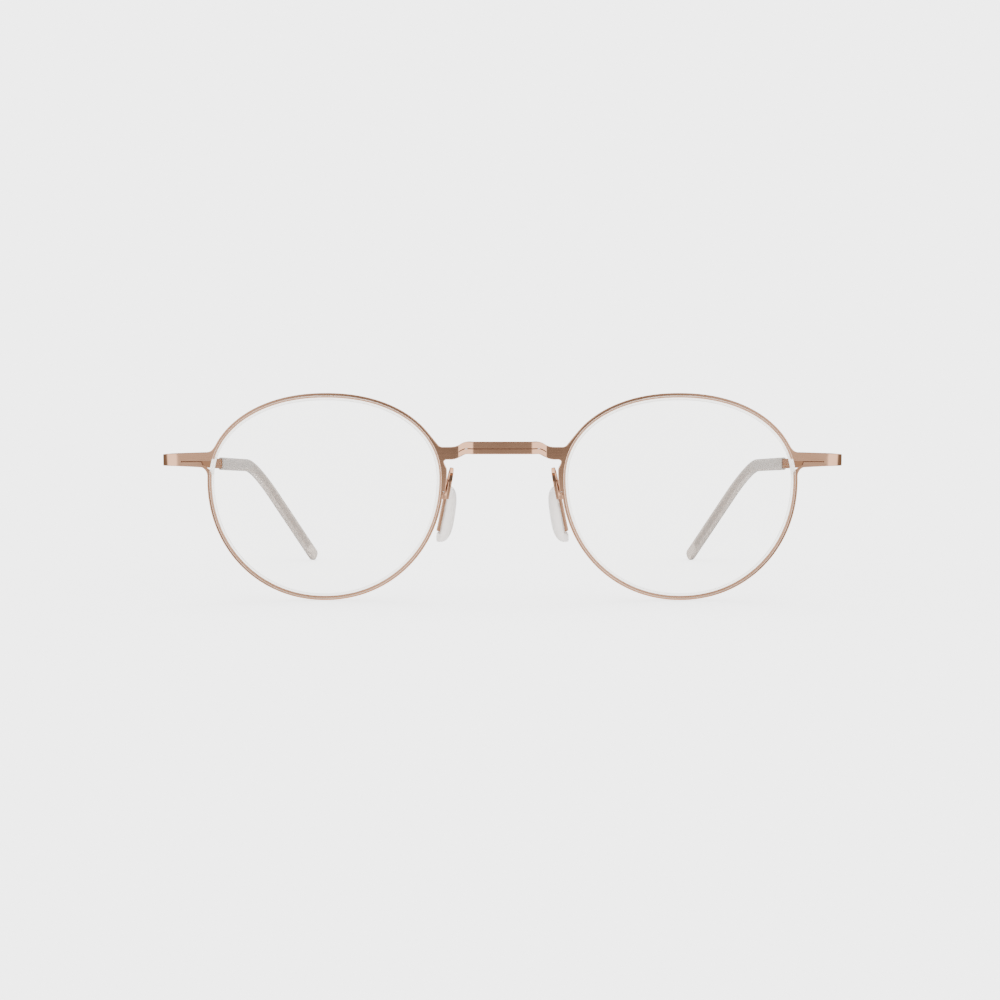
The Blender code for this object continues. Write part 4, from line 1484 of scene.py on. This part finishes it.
@dataclass(frozen=True)
class LoopArm:
    """Strip that is welded to the rim, loops over to the back and carries the nose pad."""

    front: FrontSheet
    width: float = 0.7 * MM
    edge: float = 0.12 * MM
    root_rise: float = 0.3 * MM
    root_gap: float = 0.4 * MM
    tab_height: float = 1.4 * MM
    tab_thickness: float = 0.6 * MM
    tab_edge: float = 0.08 * MM
    tab_roll: float = 4.0  # its lower edge lies back
    weld_depth: float = 0.15 * MM
    lean: float = 11.5
    splay: float = 3.5
    loop_rise: float = 4.9 * MM
    loop_radius: float = 3.0 * MM
    loop_flat: float = 0.5 * MM
    rear_drop: float = 8.4 * MM
    bend_steps: int = 24

    @property
    def loop_depth(self) -> float:
        """From the front strip to the rear one."""
        return 2 * self.loop_radius + self.loop_flat

    def root_edge(self, grow: float) -> list[Vector]:
        """Edge of the rim beside the root tab, moved out by grow, in the frame of the front."""
        lens = self.front.lens
        heights = [self.root_rise + self.tab_height * (step / 8 - 0.5) for step in range(9)]
        turns = [lens.turn_at(height, grow, -math.pi, -math.pi / 2) for height in heights]
        return [lens.point(turn, grow) + Vector((lens.middle_x, 0)) for turn in turns]

    def place(self) -> Matrix:
        """Frame of the strip in the front's: X across it towards the nose, Y forward, Z along it.

        Returns:
            The frame.
        """
        lean = math.radians(self.lean)
        strip = self.width / 2 / math.cos(lean) + self.tab_height / 2 * math.tan(lean)
        rim = min(point.x for point in (self.root_edge(self.front.rim_width)[index] for index in (0, -1)))
        origin = Matrix.Translation((rim - self.root_gap - strip, 0, self.root_rise))
        return origin @ Matrix.Rotation(-lean, 4, "Y") @ Matrix.Rotation(math.pi, 4, "Z")

    def loop(self) -> bpy.types.Mesh:
        """Strip along its loop.

        Returns:
            The mesh in the strip's frame.
        """
        corners = [
            Vector((0, 0, -self.tab_height / 2)),
            Vector((0, 0, self.loop_rise)),
            Vector((0, -self.loop_depth, self.loop_rise)),
            Vector((0, -self.loop_depth, -self.rear_drop)),
        ]
        path = rounded_path(corners, [self.loop_radius] * 2, self.bend_steps)
        path, insets = strip_ends(path, self.edge)
        sections = []
        for inset in insets:
            side = self.width - 2 * inset
            sections.append(rounded_rectangle(side, side, max(self.edge - inset, WELD)))
        mesh = swept(path, sections, Vector((1, 0, 0)))
        slant = Matrix.Identity(4)
        slant[0][1] = math.tan(math.radians(self.splay))
        mesh.transform(slant)
        return mesh

    def tab(self) -> bpy.types.Mesh:
        """Root tab from the rim to the strip.

        Returns:
            The mesh in the frame of the front.
        """
        rim_edge = self.root_edge(self.front.rim_width - self.weld_depth)
        strip_x = self.place().translation.x
        outline = rim_edge + [Vector((strip_x, rim_edge[-1].y)), Vector((strip_x, rim_edge[0].y))]
        mesh = mesh_of(rounded_plate([edged(outline, self.tab_edge)], self.tab_thickness, 3))
        middle = Matrix.Translation((0, 0, self.root_rise))
        mesh.transform(middle @ Matrix.Rotation(math.radians(self.tab_roll), 4, "X") @ middle.inverted())
        return mesh

    def build(self) -> None:
        """Shows both arms."""
        tab = self.tab()
        tab.transform(self.place().inverted())
        mesh = shaded(combined(self.loop(), [("UNION", tab)]), 40)
        for side in Side:
            own, place = on_side(mesh, self.front.place() @ self.place(), side)
            piece = show(
                f"{side.label}_loop_arm",
                own,
                place,
                "front",
                f"{side.label}_pad_arm",
                [STRIP_STEEL],
                Slot.ROSE_STEEL,
            )
            flatten_shading(piece)


@dataclass(frozen=True)
class SiliconePad:
    """Nose pad of clear silicone, crowned towards the nose, with a rebate in which the rear strip lies."""

    arm: LoopArm
    length: float = 11.6 * MM
    width: float = 6.8 * MM
    crown: float = 2.65 * MM
    back: float = 0.2 * MM
    overhang: float = 2.1 * MM
    splay: float = 10.0
    righting: float = 3.0
    fullness: float = 3.0
    clearance: float = 0.05 * MM
    voxel: float = 0.1 * MM
    smoothing: int = 8

    def mesh(self) -> bpy.types.Mesh:
        """Moulds the pad: a full oval form, its rebate, and a skin that rounds every edge.

        Returns:
            The mesh in the frame of the arm, about the middle of the pad.
        """
        work = bmesh.new()
        bmesh.ops.create_uvsphere(work, u_segments=64, v_segments=40, radius=1)
        for vertex in work.verts:
            full = [math.copysign(abs(value) ** (2 / self.fullness), value) for value in vertex.co]
            thickness = self.crown if full[0] > 0 else self.back
            vertex.co = (full[0] * thickness, full[1] * self.width / 2, full[2] * self.length / 2)
        turn = Matrix.Rotation(math.radians(-self.righting), 4, "Y")
        bmesh.ops.transform(work, matrix=turn @ Matrix.Rotation(math.radians(self.splay), 4, "Z"), verts=work.verts)
        grip = self.arm.width / 2 + self.clearance
        low = Vector((-self.length, -grip, self.overhang - self.clearance - self.length / 2))
        high = Vector((grip, self.length, self.length))
        pad = combined(mesh_of(work), [("DIFFERENCE", box_mesh(low, high))])
        pad.transform(Matrix.Scale(1 / MM, 4))
        obj = bpy.data.objects.new("pad", pad)
        skin = obj.modifiers.new("moulded skin", "REMESH")
        skin.mode = "VOXEL"
        skin.voxel_size = self.voxel / MM
        smooth = obj.modifiers.new("round edges", "SMOOTH")
        smooth.factor = 0.5
        smooth.iterations = self.smoothing
        mesh = evaluated(obj)
        mesh.transform(Matrix.Scale(MM, 4))
        mesh.shade_smooth()
        return mesh

    def build(self) -> None:
        """Shows both pads."""
        mesh = self.mesh()
        rise = self.length / 2 - self.overhang - self.arm.rear_drop
        splay = Matrix.Rotation(math.radians(-self.arm.splay), 4, "Z")
        middle = splay @ Matrix.Translation((0, -self.arm.loop_depth, rise))
        for side in Side:
            own, place = on_side(mesh, self.arm.front.place() @ self.arm.place() @ middle, side)
            pad = show(
                f"{side.label}_silicone_pad",
                own,
                place,
                "front",
                f"{side.label}_nose_pad",
                [PAD_SILICONE],
                Slot.SILICONE,
            )


@dataclass(frozen=True)
class Hinge:
    """Hinge of three knuckles on a screw, with two washers. Its frame has X outwards, Y back and Z on the axis."""

    barrel_radius: float = 0.9 * MM
    knuckle: float = 0.58 * MM
    washer: float = 0.12 * MM
    stack_gap: float = 0.04 * MM
    leaf_thickness: float = 0.5 * MM
    leaf_length: float = 4.8 * MM
    leaf_setback: float = 0.12 * MM
    finger_inset: float = 0.06 * MM
    knuckle_clearance: float = 0.15 * MM
    pin_radius: float = 0.40 * MM
    pin_clearance: float = 0.04 * MM
    head_radius: float = 0.62 * MM
    head_height: float = 0.26 * MM
    slot_width: float = 0.16 * MM
    slot_depth: float = 0.12 * MM
    seat_gap: float = 0.05 * MM
    edge: float = 0.05 * MM

    @property
    def leaf_outer(self) -> float:
        """From the axis to the leaves' outer faces."""
        return self.barrel_radius + self.seat_gap

    @property
    def skin_inner(self) -> float:
        """From the axis to the inner faces of the end piece and the temple."""
        return self.leaf_outer + self.seat_gap

    @property
    def pitch(self) -> float:
        """From one knuckle to the next."""
        return self.knuckle + self.washer + 2 * self.stack_gap

    @property
    def top(self) -> float:
        """Top of the upper knuckle."""
        return self.pitch + self.knuckle / 2

    def place(self) -> Matrix:
        """Frame of the left hinge, at rest.

        Returns:
            The frame.
        """
        origin, axis = fold_axis(Side.LEFT)
        outwards = mount("left_temple_outer")[1]
        turn = Matrix((outwards, axis.cross(outwards), axis)).transposed().to_4x4()
        return Matrix.Translation(origin) @ turn

    def barrel(self, level: float) -> bpy.types.Mesh:
        """Knuckle with rounded rims at a level."""
        low, high = level - self.knuckle / 2, level + self.knuckle / 2
        inner, radius, edge = self.barrel_radius - self.edge, self.barrel_radius, self.edge
        profile = [(0, high), (inner, high), (radius, high - edge), (radius, low + edge), (inner, low), (0, low)]
        return turned(profile)

    def leaf(self, way: int, levels: list[float]) -> bpy.types.Mesh:
        """Hinge leaf with its knuckles.

        Args:
            way: 1 for the leaf that lies back along the temple, -1 for the one on the end piece.
            levels: the heights of its knuckles.

        Returns:
            The mesh in the hinge's frame.
        """
        near, far = way * (self.barrel_radius + self.knuckle_clearance), way * self.leaf_length
        reach = self.top - self.leaf_setback
        outline = [Vector((near, -reach)), Vector((near, reach))]
        nose = reach / 2
        tip = blend(Vector((far - way * nose, reach)), Vector((way, 0)), Vector((far, 0)), Vector((0, -1)), 0.5)
        outline += tip + [Vector((point.x, -point.y)) for point in tip[-2::-1]]
        plate = mesh_of(rounded_plate([edged(outline, self.edge)], self.leaf_thickness, 3))
        middle = self.leaf_outer - self.leaf_thickness / 2
        plate.transform(Matrix.Translation((middle, 0, 0)) @ Matrix.Rotation(math.pi / 2, 4, "Z"))
        root = near + way * self.leaf_thickness
        steps = []
        for level in levels:
            half = self.knuckle / 2 - self.finger_inset
            inner = self.leaf_outer - self.leaf_thickness + self.finger_inset
            low = Vector((inner, min(0, root), level - half))
            high = Vector((self.leaf_outer - self.finger_inset, max(0, root), level + half))
            steps += [("UNION", box_mesh(low, high)), ("UNION", self.barrel(level))]
        bore, deep = self.pin_radius + self.pin_clearance, 2 * self.top
        steps.append(("DIFFERENCE", turned([(0, deep), (bore, deep), (bore, -deep), (0, -deep)])))
        if max(levels) > 0:
            sink, seat = self.head_radius + self.pin_clearance, self.top - self.head_height
            steps.append(("DIFFERENCE", turned([(0, deep), (sink, deep), (sink, seat), (0, seat)])))
        return shaded(combined(plate, steps), 35)

    def screw(self) -> bpy.types.Mesh:
        """Screw with a slotted, slightly domed head.

        Returns:
            The mesh in the hinge's frame.
        """
        seat = self.top - self.head_height + self.stack_gap
        crown, edge = self.top + self.edge / 2, self.edge
        profile = [
            (0, crown),
            (self.head_radius / 2, crown - edge / 8),
            (self.head_radius - edge, self.top),
            (self.head_radius, self.top - edge),
            (self.head_radius, seat),
            (self.pin_radius, seat),
            (self.pin_radius, edge - self.top),
            (self.pin_radius - edge, -self.top),
            (0, -self.top),
        ]
        half = self.slot_width / 2
        low = Vector((-half, -2 * self.head_radius, self.top - self.slot_depth))
        high = Vector((half, 2 * self.head_radius, 2 * self.top))
        return shaded(combined(turned(profile), [("DIFFERENCE", box_mesh(low, high))]), 35)

    def washer_ring(self, level: float) -> bpy.types.Mesh:
        """Washer with rounded rims at a level."""
        inner, outer = self.pin_radius + self.pin_clearance, self.barrel_radius
        high, low, edge = level + self.washer / 2, level - self.washer / 2, self.washer / 4
        profile = [
            (inner, high),
            (outer - edge, high),
            (outer, high - edge),
            (outer, low + edge),
            (outer - edge, low),
            (inner, low),
        ]
        return shaded(turned(profile), 50)

    def build(self) -> None:
        """Shows both hinges."""
        pitch = self.pitch
        steel, turned_steel, nylon = [STRIP_STEEL], [SCREW_STEEL], [WASHER_NYLON]
        pieces = [
            ("fixed_leaf", self.leaf(-1, [-pitch, pitch]), "front", "front_leaf", steel, Slot.ROSE_STEEL),
            ("swing_leaf", self.leaf(1, [0]), None, "temple_leaf", steel, Slot.ROSE_STEEL),
            ("slotted_screw", self.screw(), "front", "hinge_screw", turned_steel, Slot.PLAIN_STEEL),
            ("upper_nylon_ring", self.washer_ring(pitch / 2), "front", "upper_washer", nylon, Slot.NYLON),
            ("lower_nylon_ring", self.washer_ring(-pitch / 2), "front", "lower_washer", nylon, Slot.NYLON),
        ]
        for name, mesh, body, node, finishes, slot in pieces:
            for side in Side:
                own, place = on_side(mesh, self.place(), side)
                rides = body or side.temple_body
                show(f"{side.label}_{name}", own, place, rides, f"{side.label}_{node}", finishes, slot)


@dataclass(frozen=True)
class Temple:
    """Temple: a flat strip with a thin core at the back, and the sleeve on that core."""

    hinge: Hinge
    joint_gap: float = 0.1 * MM
    thickness: float = 0.8 * MM
    height: float = 2.2 * MM
    edge: float = 0.25 * MM
    pitch: float = 0.3
    reach: float = 94.7 * MM
    bend_radius: float = 28.0 * MM
    tip_length: float = 46.5 * MM
    tip_fall: float = 39.0
    tip_turn: float = 24.0
    sleeve_start: float = 59.0 * MM
    mouth_taper: float = 0.3  # share of the sleeve's thickness that is missing at its mouth
    mouth_run: float = 8.0 * MM
    sleeve_height: float = 2.85 * MM
    sleeve_thickness: float = 1.75 * MM
    sleeve_flare: float = 1.01
    sleeve_fullness: float = 3.0
    mouth_edge: float = 0.2 * MM
    core_scale: float = 0.6
    core_stop: float = 5.0 * MM
    core_clearance: float = 0.1 * MM
    spacing: float = 1.0 * MM
    sides: int = 48

    def path(self) -> list[Vector]:
        """Middle line of the temple: straight back, then one bend down and inwards to a straight tip.

        Returns:
            The points in the hinge's frame.
        """
        middle = self.hinge.skin_inner + self.thickness / 2
        fall, inwards = math.radians(self.tip_fall), math.radians(self.tip_turn)
        level = math.cos(fall)
        tip_way = Vector((-level * math.sin(inwards), level * math.cos(inwards), -math.sin(fall)))
        pitch = math.radians(self.pitch)
        back = Vector((0, math.cos(pitch), math.sin(pitch)))
        turn = back.angle(tip_way)
        run = self.bend_radius * math.tan(turn / 2)
        straight = self.tip_length - self.bend_radius * turn
        corner = Vector((middle, 0, 0)) + (self.reach + run) * back
        ends = Vector((middle, self.joint_gap, 0)), corner + (run + straight) * tip_way
        return rounded_path([ends[0], corner, ends[1]], [self.bend_radius], 40)

    def strip(self) -> bpy.types.Mesh:
        """Metal of the temple, from its square end at the hinge to the end of its core.

        Returns:
            The mesh in the hinge's frame.
        """
        path = self.path()
        mouth = self.sleeve_start - self.joint_gap
        outside = part_of_path(path, 0, mouth - self.core_clearance, self.spacing)
        core = part_of_path(path, mouth, path_length(path) - self.core_stop, self.spacing)
        outside, insets = strip_ends(outside, self.edge / 2)
        sections = []
        for inset in insets:
            size = self.thickness - 2 * inset, self.height - 2 * inset
            sections.append(rounded_rectangle(*size, max(self.edge - inset, WELD)))
        thin = [side * self.core_scale for side in (self.thickness, self.height)]
        sections += [rounded_rectangle(*thin, self.edge * self.core_scale)] * len(core)
        return shaded(swept(outside + core, sections, Vector((0, 0, 1))), 40)

    def sleeve(self) -> bpy.types.Mesh:
        """Sleeve, from the end of its pocket out to its mouth and back over its outside to its rounded end.

        Returns:
            The mesh in the hinge's frame.
        """
        path = self.path()
        start, end = self.sleeve_start - self.joint_gap, path_length(path)
        cap = self.sleeve_height * self.sleeve_flare / 2
        pocket = part_of_path(path, start, end - self.core_stop + self.core_clearance, self.spacing)
        body = part_of_path(path, start, end - cap, self.spacing)
        up = Vector((0, 0, 1))
        skin = Skin()

        def ring(place: Vector, frame_ways: tuple[Vector, Vector], section: list[Vector]) -> list[int]:
            """Ring of a section at a place on the path."""
            across, rise = frame_ways
            return skin.ring([place + across * point.x + rise * point.y for point in section])

        hole = [side * self.core_scale / 2 + self.core_clearance for side in (self.thickness, self.height)]
        inner = full_oval(*hole, 2 * self.sleeve_fullness, self.sides)
        rings = [skin.ring([pocket[-1]])]
        for place, ways in list(zip(pocket, path_frames(pocket, up)))[::-1]:
            rings.append(ring(place, ways, inner))

        half = self.sleeve_thickness / 2, self.sleeve_height / 2
        ways = path_frames(body, up)
        along = (body[1] - body[0]).normalized()
        for step in range(4):
            turn = math.pi / 2 * step / 4
            inset = self.mouth_edge * (1 - math.sin(turn))
            place = body[0] + along * self.mouth_edge * (1 - math.cos(turn))
            thin = half[0] * (1 - self.mouth_taper)
            section = full_oval(thin - inset, half[1] - inset, self.sleeve_fullness, self.sides)
            rings.append(ring(place, ways[0], section))
        for index, place in enumerate(body[1:], 1):
            scale = 1 + (self.sleeve_flare - 1) * index / (len(body) - 1)
            taper = 1 - self.mouth_taper * (1 - ramp((place - body[0]).length, 0, self.mouth_run))
            section = full_oval(half[0] * scale * taper, half[1] * scale, self.sleeve_fullness, self.sides)
            rings.append(ring(place, ways[index], section))
        along = (body[-1] - body[-2]).normalized()
        for step in range(1, 10):
            turn = math.pi / 2 * step / 10
            scale = self.sleeve_flare * math.cos(turn)
            section = full_oval(half[0] * scale, half[1] * scale, self.sleeve_fullness, self.sides)
            rings.append(ring(body[-1] + along * cap * math.sin(turn), ways[-1], section))
        rings.append(skin.ring([body[-1] + along * cap]))
        skin.loft(rings)
        return shaded(skin.mesh(), 50)

    def build(self) -> None:
        """Shows both temples and their sleeves."""
        strip, sleeve = self.strip(), self.sleeve()
        for side in Side:
            own, place = on_side(strip, self.hinge.place(), side)
            body, name = side.temple_body, side.label
            piece = show(
                f"{name}_temple_strip", own, place, body, f"{name}_temple", [STRIP_STEEL], Slot.ROSE_STEEL
            )
            flatten_shading(piece)
            own, place = on_side(sleeve, self.hinge.place(), side)
            show(f"{name}_tip_sleeve", own, place, body, f"{name}_temple_tip", [SLEEVE_PLASTIC], Slot.SLEEVE)


# Studio


@dataclass(frozen=True)
class Tent:
    """Tent of cloth and lit panels round the object, which shows only in what mirrors it.

    Angles round it are measured from the camera's side and rises from level.

    Attributes:
        cloth: radiance of the grey cloth overhead.
        backdrop: radiance behind and above the object.
        level: radiance of the tent's wall at each angle round it.
        low_level: the same for the foot of the wall, below the rises low_rise.
        table: radiance of the table at each rise.
        wall_top: the rises between which the wall fades into the cloth.
    """

    radius: float = 1.5
    cloth: float = 0.30
    backdrop: float = 2.6
    level: tuple[tuple[float, float], ...] = (
        (1.4, 0.36), (2.6, 0.42), (3.7, 0.48), (4.7, 0.58), (5.6, 0.7), (6.6, 0.95), (7.6, 1.3), (9.0, 1.3),
        (14.0, 1.4), (24.0, 2.4), (84.0, 2.4), (100.0, 0.45), (150.0, 0.45), (163.0, 0.8)
    )
    low_level: tuple[tuple[float, float], ...] = (
        (0.9, 0.62), (1.65, 0.66), (2.0, 1.15), (4.7, 1.6), (5.7, 1.9), (6.75, 0.8), (7.6, 0.2), (8.6, 0.2), (9.5, 0.5),
        (14.0, 1.3), (24.0, 2.4), (84.0, 2.4), (100.0, 0.45)
    )
    low_rise: tuple[float, float] = (-12.45, -13.1)
    table: tuple[tuple[float, float], ...] = ((-45.0, 1.9), (-26.0, 1.25), (-15.0, 0.30))
    table_rise: tuple[float, float] = (-18.0, -45.0)
    wall_top: tuple[float, float] = (14.0, 28.0)
    backdrop_start: tuple[float, float] = (85.0, 100.0)
    backdrop_foot: tuple[float, float] = (14.0, 24.0)

    def radiance(self, ways: np.ndarray) -> np.ndarray:
        """How bright the tent is in each direction.

        Args:
            ways: the directions from the tent's middle, one in each row.

        Returns:
            The radiances.
        """
        around = np.degrees(np.arctan2(abs(ways[:, 0]), -ways[:, 1]))
        rise = np.degrees(np.arcsin(ways[:, 2] / np.linalg.norm(ways, axis=1)))
        wall = np.interp(around, *zip(*self.level))
        wall += (np.interp(around, *zip(*self.low_level)) - wall) * ramp(rise, *self.low_rise)
        wall += (self.cloth - wall) * ramp(rise, *self.wall_top)
        table = np.interp(rise, *zip(*self.table))
        wall += (table - wall) * ramp(rise, *self.table_rise)
        backdrop = self.backdrop * ramp(around, *self.backdrop_start) * ramp(rise, *self.backdrop_foot)
        return np.maximum(np.maximum(wall, backdrop), np.where(rise < self.table[-1][0], table, 0.0))

    def material(self) -> bpy.types.Material:
        """Cloth that gives off the light of its place.

        Returns:
            The material.
        """
        material = bpy.data.materials.new("lit_tent_cloth")
        material.use_nodes = True
        tree = material.node_tree
        tree.nodes.clear()
        light = add_node(tree, "ShaderNodeAttribute", {"attribute_name": "radiance"})
        glow = add_node(tree, "ShaderNodeEmission", inputs={"Strength": light.outputs["Fac"]})
        add_node(tree, "ShaderNodeOutputMaterial", inputs={"Surface": glow.outputs[0]})
        material.cycles.emission_sampling = "NONE"
        return material

    def build(self, middle: Vector) -> None:
        """Hangs the tent.

        Args:
            middle: the place of its middle.
        """
        arounds = np.radians(np.concatenate((np.arange(-180, -12, 4), np.arange(-12, 12, 0.5), np.arange(12, 180, 4))))
        rises = np.radians(np.concatenate((np.arange(-86, -18, 4), np.arange(-18, -8, 0.5), np.arange(-8, 90, 4))))
        skin = Skin()
        rings = [skin.ring([Vector((0, 0, -self.radius))])]
        for rise in rises:
            level = math.cos(rise) * self.radius
            ways = [(math.sin(around) * level, -math.cos(around) * level) for around in arounds]
            rings.append(skin.ring([Vector((*way, math.sin(rise) * self.radius)) for way in ways]))
        skin.loft(rings + [skin.ring([Vector((0, 0, self.radius))])])
        tent = bpy.data.objects.new("light_tent", skin.mesh())
        bpy.context.scene.collection.objects.link(tent)
        lights = self.radiance(np.array([vertex.co for vertex in tent.data.vertices]))
        tent.data.attributes.new("radiance", "FLOAT", "POINT").data.foreach_set("value", lights)
        tent.data.materials.append(self.material())
        tent.location = middle
        tent.visible_camera = tent.visible_diffuse = tent.visible_transmission = tent.visible_shadow = False
        tent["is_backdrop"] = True


@dataclass(frozen=True)
class Studio:
    """Pale floor under an even white sky, with a tent that shows only in reflections.

    Attributes:
        view_width: width of the picture at the plane of the front.
        paper: radiance of the floor and the sky.
        floor_glow: the share of it that the floor gives off by itself, so that shadows stay faint.
    """

    front: FrontSheet
    tent: Tent = Tent()
    view_width: float = 200.6 * MM
    camera_distance: float = 550.0 * MM
    camera_drop: float = 0.6 * MM
    camera_lift: float = -0.15  # degrees above the level of the hinges
    camera_offset: float = -0.5 * MM
    sensor: float = 36.0
    floor_size: float = 60.0
    paper: float = 2.6
    floor_glow: float = 0.5

    def camera(self) -> None:
        """Sets up the camera, level with the front as the photograph has it."""
        axis = fold_axis(Side.LEFT)[1]
        pitch = -math.atan2(axis.y, axis.z) - math.radians(self.camera_lift)
        data = bpy.data.cameras.new("camera")
        data.sensor_width = self.sensor
        data.lens = self.sensor * self.camera_distance / self.view_width
        data.clip_start, data.clip_end = 10 * MM, 2 * self.floor_size
        camera = bpy.data.objects.new("camera", data)
        bpy.context.scene.collection.objects.link(camera)
        stand = Matrix.Rotation(pitch, 4, "X")
        offset = Vector((self.camera_offset, -self.camera_distance, -self.camera_drop))
        camera.location = self.front.place().translation + stand @ offset
        camera.rotation_euler = (math.pi / 2 + pitch, 0, 0)
        bpy.context.scene.camera = camera

    def floor(self) -> None:
        """Lays matt paper under the object, as bright as the sky behind it."""
        work = bmesh.new()
        bmesh.ops.create_grid(work, x_segments=1, y_segments=1, size=self.floor_size)
        floor = bpy.data.objects.new("paper_floor", mesh_of(work))
        bpy.context.scene.collection.objects.link(floor)
        material = bpy.data.materials.new("matt_paper")
        material.use_nodes = True
        shader = material.node_tree.nodes["Principled BSDF"]
        grey = 1 - self.floor_glow
        shader.inputs["Base Color"].default_value = (grey, grey, grey, 1)
        shader.inputs["Roughness"].default_value = 1.0
        shader.inputs["Specular IOR Level"].default_value = 0.0
        shader.inputs["Emission Color"].default_value = (1, 1, 1, 1)
        shader.inputs["Emission Strength"].default_value = self.paper * self.floor_glow
        floor.data.materials.append(material)
        floor.visible_glossy = False
        floor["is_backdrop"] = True

    def sky(self) -> None:
        """Lights the whole scene evenly from all round."""
        world = bpy.data.worlds.new("white_sky")
        world.use_nodes = True
        background = world.node_tree.nodes["Background"]
        background.inputs["Color"].default_value = (1, 1, 1, 1)
        background.inputs["Strength"].default_value = self.paper
        bpy.context.scene.world = world

    def build(self) -> None:
        """Sets up the whole studio."""
        self.camera()
        self.floor()
        self.sky()
        self.tent.build(self.front.place().translation)
        settings = bpy.context.scene.view_settings
        settings.view_transform = "AgX"
        settings.look = "AgX - Medium High Contrast"


def write_sizes() -> None:
    """Measures the box of the solids and the box of the dressed model; nothing is written."""
    boxes = {"cad": CAD_BOX, "visual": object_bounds()}
    {name: [list(corner) for corner in box] for name, box in boxes.items()}


def main() -> None:
    """Builds the glasses and the studio."""
    logging.basicConfig(level=logging.INFO, format="%(name)s: %(message)s")
    front = FrontSheet()
    arm = LoopArm(front)
    hinge = Hinge()
    for assembly in (front, GroovedLens(front), arm, SiliconePad(arm), hinge, Temple(hinge), Studio(front)):
        assembly.build()
    write_sizes()


if __name__ == "__main__":
    main()
